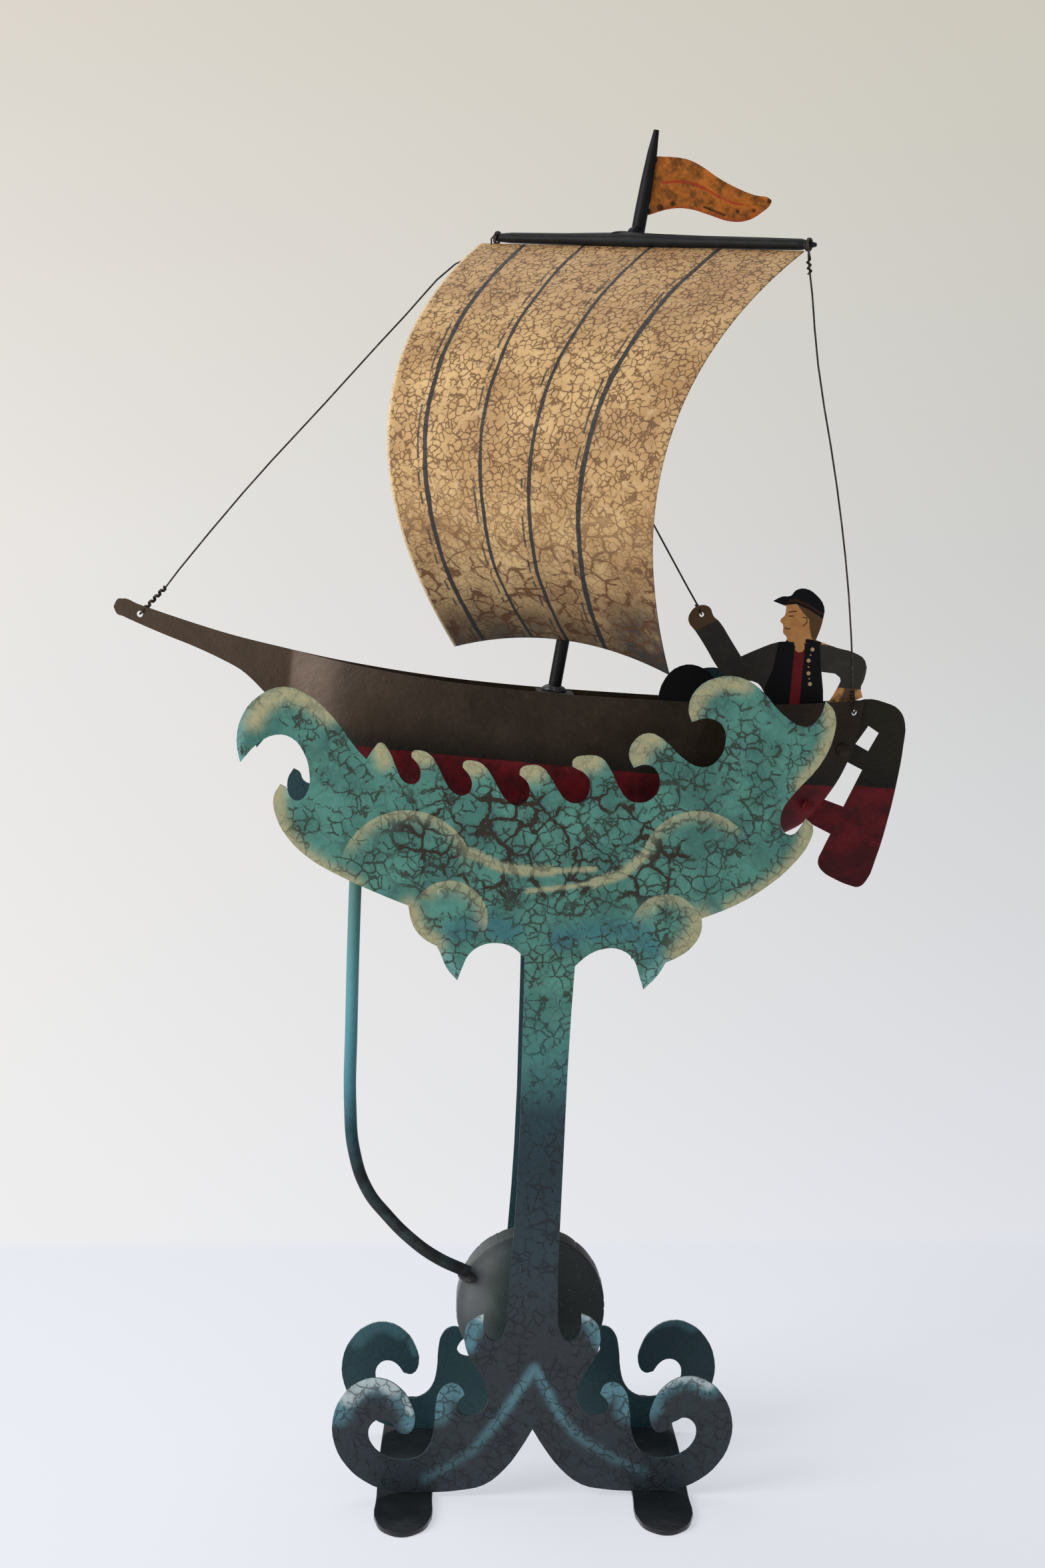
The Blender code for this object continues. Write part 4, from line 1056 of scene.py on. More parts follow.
def drawn_rod(name: str, route: Sequence[Vector], radius: float,
              shares: Sequence[float] | None = None, sides: int = 6,
              steps: int = 8, blunt: float = 0.0) -> bpy.types.Object:
    """A round rod or wire drawn along a smooth route in the boat's frame.

    Args:
        name: The piece's name.
        route: The points that it follows.
        radius: Its radius.
        shares: The share of the radius at each point.
        sides: A quarter of the number of sides round it.
        steps: The steps between two points.
        blunt: The rounding of its cut ends.

    Returns:
        The rod as a mesh.
    """
    drop_selection()
    bpy.ops.curve.primitive_bezier_curve_add()
    piece = bpy.context.active_object
    curve = piece.data
    curve.splines.clear()
    curve.dimensions = "3D"
    curve.bevel_depth = radius
    curve.bevel_resolution = sides
    curve.use_fill_caps = True
    curve.resolution_u = steps
    spline = curve.splines.new("BEZIER")
    spline.bezier_points.add(len(route) - 1)
    for index, (knot, point) in enumerate(zip(spline.bezier_points, route)):
        knot.co = point
        knot.handle_left_type = "AUTO"
        knot.handle_right_type = "AUTO"
        if shares:
            knot.radius = shares[index]
    bpy.ops.object.convert(target="MESH")
    piece = bpy.context.active_object
    piece.name = name
    edit(piece, lambda: bpy.ops.mesh.remove_doubles(threshold=MERGE_MM),
         lambda: bpy.ops.mesh.normals_make_consistent(inside=False))
    if blunt:
        edit(piece, lambda: bpy.ops.mesh.select_all(action="DESELECT"),
             lambda: bpy.ops.mesh.edges_select_sharp(sharpness=CORNER),
             lambda: bpy.ops.mesh.bevel(offset=blunt, segments=3, clamp_overlap=True))
    settle(piece, Place.BOAT)
    ease(piece, 50.0)
    return piece


@dataclass(frozen=True)
class Bead:
    """A lumpy bead of solder or weld.

    Args:
        name: The piece's name.
        offset: Its middle, from the joint that it covers.
        size: Its half sizes.
        lean: Its turn about Y, in degrees.
        seed: Where its lumps are read.
        lumps: How far its lumps stand out, as a share of its size.
    """

    name: str
    offset: tuple[float, float, float]
    size: tuple[float, float, float]
    lean: float = 0.0
    seed: float = 0.0
    lumps: float = 0.16
    segments: int = 28
    rings: int = 16
    lump_scale: float = 1.9

    def build(self, joint: Vector) -> bpy.types.Object:
        """Make the bead on a joint of the boat."""
        drop_selection()
        bpy.ops.mesh.primitive_uv_sphere_add(segments=self.segments, ring_count=self.rings, radius=1.0)
        piece = bpy.context.active_object
        piece.name = self.name
        turn = Matrix.Rotation(math.radians(self.lean), 4, "Y")
        place = Matrix.Translation(joint + Vector(self.offset)) @ turn @ Matrix.Diagonal((*self.size, 1.0))
        for vertex in piece.data.vertices:
            spot = vertex.co * self.lump_scale + Vector((self.seed, 0.0, 0.0))
            vertex.co = place @ (vertex.co * (1.0 + self.lumps * noise.noise(spot)))
        settle(piece, Place.BOAT)
        ease(piece, 60.0)
        return piece


def turned_rod(name: str, centre: Point, reach: float, radius: float, place: Place,
               head: tuple[float, float] | None = None, sides: int = 40) -> bpy.types.Object:
    """A round rod across the object, with its ends blunted or riveted over into low heads.

    Args:
        name: The piece's name.
        centre: Its axis, as x and z in its drawing frame.
        reach: Half its length between shoulders.
        radius: Its radius.
        place: The drawing frame.
        head: The head's radius and height, or None for a plain end.
        sides: The sides round it.

    Returns:
        The rod.
    """
    drop_selection()
    bpy.ops.mesh.primitive_cylinder_add(vertices=sides, radius=radius, depth=2.0 * reach,
                                        rotation=(QUARTER_TURN, 0.0, 0.0),
                                        location=(centre[0], 0.0, centre[1]))
    piece = bpy.context.active_object
    piece.name = name
    take_up(piece)
    bpy.ops.object.transform_apply(location=True, rotation=True, scale=True)
    for side in (-1.0, 1.0):
        edit(piece, lambda: bpy.ops.mesh.select_all(action="DESELECT"))
        for face in piece.data.polygons:
            face.select = face.normal.y * side > 0.9 and face.center.y * side > 0.9 * reach
        bpy.ops.object.mode_set(mode="EDIT")
        if head:
            bpy.ops.mesh.extrude_region_move(
                TRANSFORM_OT_translate={"value": (0.0, 0.001 * side, 0.0)})
            bpy.ops.transform.resize(value=(head[0] / radius,) * 3,
                                     center_override=(centre[0], side * (reach + 0.001), centre[1]))
            for share, rise in HEAD_RINGS:
                bpy.ops.mesh.extrude_region_move(
                    TRANSFORM_OT_translate={"value": (0.0, head[1] * rise * side, 0.0)})
                bpy.ops.transform.resize(value=(share, 1.0, share))
        else:
            bpy.ops.mesh.inset(thickness=0.12 * radius)
            bpy.ops.transform.translate(value=(0.0, 0.06 * radius * side, 0.0))
        bpy.ops.object.mode_set(mode="OBJECT")
    settle(piece, place)
    ease(piece, 50.0)
    return piece


# ------------------------------------------------------------------------------------------- stand

@dataclass
class Stand:
    """The two wave plates on their straps, with the rods between them."""

    plate_edge: float = 0.45
    strap_edge: float = 0.7
    spacers: tuple[Point, ...] = ((-39.0, 262.5), (52.0, 254.5))
    spacer_radius: float = 2.75
    plate_thickness: float = 2.0
    head_radius: float = 2.4
    head_height: float = 0.35
    # The share of wear and painted highlight on the bevelled edges.
    rim_wear_and_highlight: float = 0.75

    def build(self) -> None:
        """Make and dress every piece."""
        paint = SeaPaint()
        face = paint.material("sea_paint")
        rim = paint.material("sea_paint_rim", self.rim_wear_and_highlight)
        for node in ("front_plate", "rear_plate"):
            plate = worked_copy(node, node + "_painted", self.plate_edge, 1)
            dress(plate, "stand", "wave_paint", face, rim, replaces=node)
        black = StrapPaint().material("strap_paint")
        for node in ("foot_strap_left", "foot_strap_right"):
            strap = worked_copy(node, node + "_dipped", self.strap_edge)
            dress(strap, "stand", "strap_black", black, replaces=node)
        inner = PLATE_MIDDLE - 0.5 * self.plate_thickness - GAP
        for side, centre in zip(("left", "right"), self.spacers):
            rod = turned_rod(f"spacer_rod_{side}_turned", centre, inner, self.spacer_radius, Place.STAND)
            dress(rod, "stand", "wave_paint", face, replaces=f"spacer_rod_{side}")
            self.rivet_ends(side, centre, face)
        steel = STEEL.material("pivot_steel")
        axle = frame["nodes"]["pivot_rod"]
        axle.data.materials.clear()
        axle.data.materials.append(steel)
        log.info("pivot_rod keeps its shape in bare steel")

    def rivet_ends(self, side: str, centre: Point, paint: bpy.types.Material) -> None:
        """The low painted heads of one spacer rod on the outer faces of both plates."""
        outer = PLATE_MIDDLE + 0.5 * self.plate_thickness
        for end, sign in (("front", -1.0), ("rear", 1.0)):
            drop_selection()
            bpy.ops.mesh.primitive_uv_sphere_add(segments=24, ring_count=12, radius=self.head_radius,
                                                 location=(centre[0], sign * outer, centre[1]))
            head = bpy.context.active_object
            head.name = f"spacer_head_{side}_{end}"
            bpy.ops.object.transform_apply(location=True, rotation=True, scale=True)
            edit(head, lambda: bpy.ops.transform.resize(
                value=(1.0, self.head_height, 1.0), center_override=(centre[0], sign * outer, centre[1])))
            settle(head, Place.STAND)
            ease(head, 60.0)
            dress(head, "stand", "wave_paint", paint)


# -------------------------------------------------------------------------------------------- hull

def through(knots: Sequence[Point], x: float) -> float:
    """A smooth curve through (x, value) knots, read at x."""
    if x <= knots[0][0]:
        return knots[0][1]
    if x >= knots[-1][0]:
        return knots[-1][1]
    index = next(k for k in range(1, len(knots)) if knots[k][0] >= x) - 1

    def slope(k: int) -> float:
        """The curve's slope at a knot, weighted as in a second-order difference."""
        if k == 0 or k == len(knots) - 1:
            a, b = (knots[0], knots[1]) if k == 0 else (knots[-2], knots[-1])
            return (b[1] - a[1]) / (b[0] - a[0])
        before = knots[k][0] - knots[k - 1][0]
        after = knots[k + 1][0] - knots[k][0]
        rise_before = (knots[k][1] - knots[k - 1][1]) / before
        rise_after = (knots[k + 1][1] - knots[k][1]) / after
        return (after * rise_before + before * rise_after) / (before + after)

    (x0, y0), (x1, y1) = knots[index], knots[index + 1]
    span = x1 - x0
    t = (x - x0) / span
    level = (2 * t**3 - 3 * t**2 + 1) * y0 + (3 * t**2 - 2 * t**3) * y1
    return level + span * ((t**3 - 2 * t**2 + t) * slope(index) + (t**3 - t**2) * slope(index + 1))


@dataclass
class Hull:
    """Two pressed sides, the rudder, its rivets and what the hull holds inside."""

    sheer: tuple[Point, ...] = (
        (-197.4, 100.2), (-196.6, 102.4), (-194.0, 103.7), (-187.4, 102.0), (-172.7, 98.3),
        (-145.0, 92.2), (-120.5, 88.4), (-104.0, 85.9), (-84.0, 83.6), (-57.0, 81.5), (-20.0, 80.4),
        (20.0, 80.8), (60.0, 82.0), (93.0, 83.6), (130.4, 88.0))
    keel: tuple[Point, ...] = (
        (-197.4, 99.8), (-196.4, 97.8), (-193.0, 96.2), (-187.0, 94.0), (-175.0, 90.0),
        (-161.0, 85.7), (-149.5, 81.5), (-139.5, 76.9), (-129.6, 68.8), (-118.0, 57.0),
        (-104.0, 44.0), (-88.0, 33.5), (-66.0, 24.5), (-36.0, 20.0), (0.0, 19.2), (36.0, 19.2),
        (64.0, 20.2), (88.0, 23.4), (102.6, 28.0), (110.6, 33.9), (117.8, 43.7), (126.1, 60.9),
        (128.8, 70.0), (130.1, 80.0), (130.4, 87.6))
    half_breadths: tuple[Point, ...] = (
        (-119.0, 0.15), (-104.0, 5.6), (-84.0, 11.6), (-57.0, 16.8), (-20.0, 21.2), (20.0, 23.0),
        (50.0, 21.2), (78.0, 16.4), (100.0, 10.2), (118.0, 4.6), (130.4, 0.9))
    seam: tuple[Point, ...] = ((-197.4, 0.15), (94.0, 0.15), (102.0, 0.9), (130.4, 0.9))
    crease: float = -119.0
    shell: float = 0.8
    stations: int = 150
    rows: int = 22
    dent: float = 0.16
    dent_scale: float = 0.075
    dents_from: float = 4.0
    row_power: float = 1.5
    rivets: tuple[Point, ...] = ((123.2, 65.9), (110.2, 40.1))
    rivet_shank: float = 1.5
    rivet_head: float = 2.9
    bow_hole: Point = (-186.0, 97.7)
    stern_hole: Point = (127.0, 82.4)
    hole_radius: float = 1.4
    rudder_edge: float = 0.3

    def half_beam(self, x: float, t: float) -> float:
        """Half the inner breadth at a station; t runs from 0 at the gunwale to 1 at the keel."""
        low = max(k for k in range(len(self.seam) - 1) if self.seam[k][0] <= max(x, self.seam[0][0]))
        (x0, y0), (x1, y1) = self.seam[low], self.seam[low + 1]
        seam = y0 + (y1 - y0) * min(1.0, (x - x0) / (x1 - x0))
        if x <= self.crease:
            return seam
        full = max(seam, through(self.half_breadths, x))
        return seam + (full - seam) * (1.0 - t**3) ** 0.6

    def station(self, share: float) -> float:
        """A place along the hull, close set towards both ends, with one right on the crease."""
        tip, stern = self.sheer[0][0], self.sheer[-1][0]
        x = 0.5 * (tip + stern) - 0.5 * (stern - tip) * math.cos(math.pi * share)
        return self.crease if abs(x - self.crease) < 1.7 else x

    def side(self, name: str, sign: float) -> bpy.types.Object:
        """One pressed side.

        Args:
            name: The piece's name.
            sign: The side of the boat, -1 for the near one.

        Returns:
            The side, with its holes.
        """
        drop_selection()
        bpy.ops.mesh.primitive_grid_add(x_subdivisions=self.stations, y_subdivisions=self.rows, size=2.0)
        piece = bpy.context.active_object
        piece.name = name
        for vertex in piece.data.vertices:
            x = self.station(0.5 + 0.5 * vertex.co.x)
            t = 1.0 - (0.5 - 0.5 * vertex.co.y) ** self.row_power
            top = through(self.sheer, x)
            bottom = min(through(self.keel, x), top - 0.2)
            z = top + (bottom - top) * t
            inward = 0.0
            if x > self.crease + self.dents_from:
                hollow = 0.5 + 0.5 * noise.noise(Vector((x, z, 9.0 * sign)) * self.dent_scale)
                inward = self.dent * hollow * min(1.0, 4.0 * t * (1.0 - t) + 0.2)
            vertex.co = (x, sign * (self.half_beam(x, t) + self.shell - inward), z)
        edit(piece, lambda: bpy.ops.mesh.remove_doubles(threshold=0.5 * MERGE_MM),
             lambda: bpy.ops.mesh.normals_make_consistent(inside=False))
        middle = piece.data.polygons[len(piece.data.polygons) // 2]
        if middle.normal.y * sign < 0.0:
            edit(piece, bpy.ops.mesh.flip_normals)
        skin = piece.modifiers.new("skin", "SOLIDIFY")
        skin.thickness = self.shell
        skin.offset = -1.0
        skin.use_even_offset = False
        cutters = [self.drill(piece, self.bow_hole, self.hole_radius),
                   self.drill(piece, self.stern_hole, self.hole_radius)]
        cutters += [self.drill(piece, centre, self.rivet_shank + GAP) for centre in self.rivets]
        apply_all(piece)
        for cutter in cutters:
            bpy.data.objects.remove(cutter, do_unlink=True)
        settle(piece, Place.BOAT)
        ease(piece, 34.0)
        return piece

    def drill(self, piece: bpy.types.Object, centre: Point, radius: float) -> bpy.types.Object:
        """Cut a round hole across the boat in a piece, and return the cutter."""
        drop_selection()
        bpy.ops.mesh.primitive_cylinder_add(vertices=28, radius=radius, depth=30.0,
                                            rotation=(QUARTER_TURN, 0.0, 0.0),
                                            location=(centre[0], 0.0, centre[1]))
        cutter = bpy.context.active_object
        cutter.hide_render = True
        cut = piece.modifiers.new("hole", "BOOLEAN")
        cut.operation = "DIFFERENCE"
        cut.solver = "EXACT"
        cut.object = cutter
        return cutter

    def build(self) -> None:
        """Make and dress every piece."""
        paint = HullPaint().material("hull_paint")
        for label, sign in (("port", -1.0), ("starboard", 1.0)):
            side = self.side(f"hull_side_{label}_pressed", sign)
            dress(side, "boat", "hull_brown", paint, replaces=f"hull_side_{label}")
        rudder = worked_copy("rudder", "rudder_painted", self.rudder_edge)
        dress(rudder, "boat", "rudder_paint", RUDDER_PAINT.material("rudder_paint"), replaces="rudder")
        for label, centre in zip(("upper", "lower"), self.rivets):
            face = self.half_beam(centre[0] - self.rivet_head, 0.0) + self.shell
            rivet = turned_rod(f"rudder_rivet_{label}_set", centre, face, self.rivet_shank, Place.BOAT,
                               (self.rivet_head, 1.2), 32)
            dress(rivet, "boat", "hull_brown", paint, replaces=f"rudder_rivet_{label}")
        steel = STEEL.material("bracket_steel")
        for node, material in (("pivot_saddle", steel), ("mast_thwart", paint), ("stern_thwart", paint)):
            kept = frame["nodes"][node]
            kept.data.materials.clear()
            kept.data.materials.append(material)
            log.info("%s keeps its shape", node)


# --------------------------------------------------------------------------------------------- rig

@dataclass(frozen=True)
class Stay:
    """The measures of one wire.

    Args:
        node: The frame node that it stands for.
        hole: The hole's centre.
        wall: Half the thickness of what the hole goes through.
        bows: How far the wire bows aft and down, as (share of its length, bow) pairs.
        twist: Where the twisted stretch starts and ends, measured up from the hole.
        twist_radius: The twist's radius.
        wound: Whether its upper end is wound round the yard.
    """

    node: str
    hole: Point
    wall: float
    bows: tuple[Point, ...]
    twist: tuple[float, float]
    twist_radius: float = 0.75
    wound: bool = True


@dataclass
class Rig:
    """Mast, yard, sail, pennant and the three wires."""

    yaw: float = math.radians(30.0)
    top: tuple[float, float] = (73.0, 81.5)
    foot: tuple[float, float] = (51.0, 55.0)
    belly: float = 67.0
    foot_z: float = 95.0
    foot_arch: float = 9.0
    foot_slope: float = 2.0
    foot_start: float = 0.8
    sail_thickness: float = 0.7
    cloth_zero_m: float = 0.2
    yard_z: float = 275.0
    yard_radius: float = 2.6
    mast_foot: Point = (-4.5, 80.0)
    mast_tip: Point = (17.7, 323.0)
    mast_radius: float = 2.8
    mast_swell: tuple[Point, ...] = (
        (110.0, 1.02), (140.0, 1.0), (180.0, 0.98), (215.0, 1.0), (250.0, 0.98), (275.0, 1.04),
        (288.0, 1.04), (300.0, 0.96), (313.0, 0.76), (323.0, 0.42))
    yard_swell: tuple[Point, ...] = (
        (-67.0, 0.5), (-64.0, 0.72), (-58.0, 0.9), (-32.0, 1.0), (-14.0, 1.2), (0.0, 1.36),
        (14.0, 1.2), (34.0, 1.05), (60.0, 1.0), (79.0, 0.92), (83.0, 0.62), (86.0, 0.3))
    wire_radius: float = 0.4
    twist_pitch: float = 3.2
    tail_radius: float = 0.75
    fore_bows: tuple[Point, ...] = ((0.25, -2.8), (0.5, -3.6), (0.75, -4.4), (0.9, -4.2))
    aft_bows: tuple[Point, ...] = ((0.25, 3.6), (0.5, 3.0), (0.75, -0.5))
    sheet_bows: tuple[Point, ...] = ((0.25, 0.5), (0.5, 0.8), (0.75, 0.4))
    grip: Point = (56.6, 119.0)
    hand_wall: float = 0.5
    crossing_out: float = 3.2
    yard_beads: tuple[Bead, ...] = (
        Bead("yard_solder", (-4.0, 0.4, 2.2), (6.0, 2.0, 1.9), seed=3.0, lumps=0.05),
        Bead("mast_solder", (0.6, 0.4, 1.6), (3.5, 3.0, 5.0), seed=7.0, lumps=0.05))
    step_z: float = 81.0
    step_bead: Bead = Bead("mast_step_solder", (0.0, 0.0, 0.0), (5.4, 3.8, 2.2), seed=5.0)
    tacks: tuple[tuple[float, Bead], ...] = (
        (288.6, Bead("pennant_solder_0", (2.2, 0.0, 0.0), (1.6, 1.1, 1.5), seed=2.0)),
        (310.4, Bead("pennant_solder_1", (1.2, 0.0, 0.0), (1.6, 1.1, 1.5), seed=3.0)))
    columns: int = 56
    lengths: int = 84
    hull: Hull = field(default_factory=Hull)

    @property
    def along(self) -> Vector:
        """The way the yard runs, from the bow's side to the stern's."""
        return Vector((math.cos(self.yaw), -math.sin(self.yaw), 0.0))

    @property
    def wind(self) -> Vector:
        """The way the sail bellies."""
        return Vector((-math.sin(self.yaw), -math.cos(self.yaw), 0.0))

    def mast_point(self, z: float) -> Vector:
        """The mast's centre at a height."""
        share = (z - self.mast_foot[1]) / (self.mast_tip[1] - self.mast_foot[1])
        return Vector((self.mast_foot[0] + (self.mast_tip[0] - self.mast_foot[0]) * share, 0.0, z))

    def yard_point(self, along: float) -> Vector:
        """A point on the yard's centre line."""
        stand_off = self.mast_radius + self.yard_radius + GAP
        return self.mast_point(self.yard_z) + self.wind * stand_off + self.along * along

    def sail_point(self, s: float, t: float) -> Vector:
        """A point of the sail, s from luff to leech and t from yard to foot."""
        top = self.yard_z - self.yard_radius - GAP
        z = top + (self.foot_z - top) * t
        luff, leech = self.span(t)
        stand_off = self.mast_radius + GAP + self.sail_thickness + (1.0 - t) * self.yard_radius
        belly = self.belly * 4.0 * t * (1.0 - t) * (1.1 - 0.2 * t)
        point = self.mast_point(z) + self.wind * (stand_off + belly)
        point += self.along * (s * (luff + leech) - luff)
        curve = self.foot_arch * 4.0 * s * (1.0 - s) - self.foot_slope * s
        point.z += curve * max(0.0, (t - self.foot_start) / (1.0 - self.foot_start))
        return point

    def span(self, t: float) -> Point:
        """How far the sail reaches ahead of and behind the mast, at a share of the way down."""
        return (self.top[0] + (self.foot[0] - self.top[0]) * t,
                self.top[1] + (self.foot[1] - self.top[1]) * t)

    def sail(self) -> bpy.types.Object:
        """The rolled sheet, with its size kept in a cloth map and its shares in a panel map."""
        drop_selection()
        bpy.ops.mesh.primitive_grid_add(x_subdivisions=self.columns, y_subdivisions=self.lengths,
                                        size=2.0, calc_uvs=True)
        piece = bpy.context.active_object
        piece.name = "sail_rolled"
        mesh = piece.data
        shares = [(0.5 + 0.5 * v.co.x, 0.5 - 0.5 * v.co.y) for v in mesh.vertices]
        run = [0.0]
        for row in range(self.lengths):
            step = (self.sail_point(0.5, (row + 1) / self.lengths)
                    - self.sail_point(0.5, row / self.lengths)).length
            run.append(run[-1] + step)
        panel = mesh.uv_layers[0]
        panel.name = "panel"
        cloth = mesh.uv_layers.new(name="cloth")
        for loop in mesh.loops:
            s, t = shares[loop.vertex_index]
            luff, leech = self.span(t)
            across = s * (luff + leech) - luff
            panel.data[loop.index].uv = (s, t)
            down = run[min(self.lengths, round(t * self.lengths))]
            cloth.data[loop.index].uv = (self.cloth_zero_m + across * MM, down * MM)
        for vertex, (s, t) in zip(mesh.vertices, shares):
            vertex.co = self.sail_point(s, t)
        skin = piece.modifiers.new("skin", "SOLIDIFY")
        skin.thickness = self.sail_thickness
        skin.offset = 0.0
        rim = piece.modifiers.new("rim", "BEVEL")
        rim.width = 0.22
        rim.segments = 2
        rim.limit_method = "ANGLE"
        rim.angle_limit = CORNER
        apply_all(piece)
        settle(piece, Place.BOAT)
        ease(piece)
        return piece

    def coil(self, start: Vector, end: Vector, turns: float, radius: float,
             phase: float = 0.0) -> list[Vector]:
        """Points that wind round a straight line.

        Args:
            start: Where the winding starts on the line.
            end: Where it ends.
            turns: How many turns it makes.
            radius: Its radius.
            phase: Its first angle, in turns.

        Returns:
            The points.
        """
        axis = (end - start).normalized()
        side = axis.cross(Vector((0.0, 1.0, 0.0))).normalized()
        other = axis.cross(side)
        count = max(2, round(turns * 8))
        points = []
        for k in range(count + 1):
            angle = 2.0 * math.pi * (phase + turns * k / count)
            points.append(start.lerp(end, k / count)
                          + (side * math.cos(angle) + other * math.sin(angle)) * radius)
        return points

    def stay(self, stay: Stay, end: Vector, paint: bpy.types.Material) -> None:
        """A stay: up through its hole, twisted round itself and on to the yard, wound on there too.

        Args:
            stay: Its measures.
            end: Its end at the yard.
            paint: Its material.
        """
        centre = Vector((stay.hole[0], 0.0, stay.hole[1]))
        clear = stay.wall + self.wire_radius + 0.15
        across = Vector((0.0, clear, 0.0))
        rise = (end - centre).normalized()
        low = centre + rise * stay.twist[0]
        top = centre + rise * stay.twist[1]
        turns = (stay.twist[1] - stay.twist[0]) / self.twist_pitch
        tail = self.coil(top, low, turns, stay.twist_radius, 0.5)
        front = [centre + rise * 0.6 * stay.twist[0] - across * 0.9, centre + rise * 1.2 - across]
        back = [centre + rise * 0.2 + across * 0.9, centre + rise * 0.6 * stay.twist[0] + across * 0.8]
        lead = self.coil(low, top, turns, stay.twist_radius)
        bowed = [top.lerp(end, share) + Vector((bow, 0.0, -bow)) for share, bow in stay.bows]
        near = [centre + rise * 0.4 - across * 0.5]
        route = tail + front + near + back + lead + bowed + [end - rise * 4.0]
        if stay.wound:
            route += self.hook(end, rise)
        piece = drawn_rod(stay.node + "_twisted", route, self.wire_radius, sides=2, steps=3)
        dress(piece, "boat", "rigging_wire", paint, replaces=stay.node)

    def hook(self, end: Vector, rise: Vector) -> list[Vector]:
        """The turns of wire that hold a stay's upper end to the yard."""
        radius = 0.8 * self.yard_radius + self.wire_radius
        axis_point = self.yard_point((end - self.yard_point(0.0)).dot(self.along))
        start = axis_point - self.along * 0.5
        stop = axis_point + self.along * 0.9
        turns = self.coil(start, stop, 2.0, radius, 0.25)
        tail = self.coil(end - rise * 3.0, end - rise * 9.0, 2.5, self.tail_radius)
        return turns + tail

    def build(self) -> None:
        """Make and dress every piece."""
        charcoal = SparPaint().material("spar_paint")
        solder = SOLDER.material("solder")
        wire = WIRE.material("wire_finish")
        swell = ((self.mast_foot[1] + GAP, 1.0), *self.mast_swell)
        mast = drawn_rod("mast_forged", [self.mast_point(z) for z, _ in swell], self.mast_radius,
                         [share for _, share in swell], blunt=0.6)
        dress(mast, "boat", "spar_charcoal", charcoal, replaces="mast")
        yard = drawn_rod("yard_forged", [self.yard_point(along) for along, _ in self.yard_swell],
                         self.yard_radius, [share for _, share in self.yard_swell], blunt=0.3)
        dress(yard, "boat", "spar_charcoal", charcoal, replaces="yard")
        crossing = self.mast_point(self.yard_z) + self.wind * self.crossing_out
        for bead in self.yard_beads:
            dress(bead.build(crossing), "boat", "spar_charcoal", charcoal)
        step = self.step_bead.build(self.mast_point(self.step_z))
        dress(step, "boat", "spar_charcoal", solder)
        sail_paint = SailPaint().material("sail_paint", sum(self.top), sum(self.foot))
        dress(self.sail(), "boat", "sail_beige", sail_paint, replaces="sail")
        for height, bead in self.tacks:
            dress(bead.build(self.mast_point(height)), "boat", "spar_charcoal", charcoal)
        pennant = worked_copy("pennant", "pennant_painted", 0.2)
        dress(pennant, "boat", "pennant_ochre", PennantPaint().material("pennant_paint"),
              replaces="pennant")
        hull = self.hull
        bow_end = self.yard_point(self.yard_swell[0][0] + 1.5)
        sheet_end = self.yard_point(self.yard_swell[0][0] + 4.0)
        stern_end = self.yard_point(self.yard_swell[-1][0] - 3.5)
        drop = Vector((0.0, 0.0, self.yard_radius + self.wire_radius))
        bow_wall = hull.half_beam(hull.bow_hole[0], 0.0) + hull.shell
        stern_wall = hull.half_beam(hull.stern_hole[0] - 4.0, 0.0) + hull.shell
        self.stay(Stay("forestay_wire", hull.bow_hole, bow_wall, self.fore_bows, (4.0, 16.0)),
                  bow_end - drop * 0.4, wire)
        self.stay(Stay("backstay_wire", hull.stern_hole, stern_wall, self.aft_bows, (5.0, 10.0)),
                  stern_end - drop, wire)
        self.stay(Stay("sheet_wire", self.grip, self.hand_wall, self.sheet_bows, (3.0, 5.0), 0.5, False),
                  sheet_end - drop - self.wind * 1.5, wire)


# ------------------------------------------------------------------------------------ crew, balance

@dataclass
class Crew:
    """The fisherman."""

    edge: float = 0.3

    def build(self) -> None:
        """Make and dress the figure."""
        figure = worked_copy("fisherman", "fisherman_painted", self.edge)
        dress(figure, "boat", "figure_paint", FigurePaint().material("figure_dress"),
              replaces="fisherman")


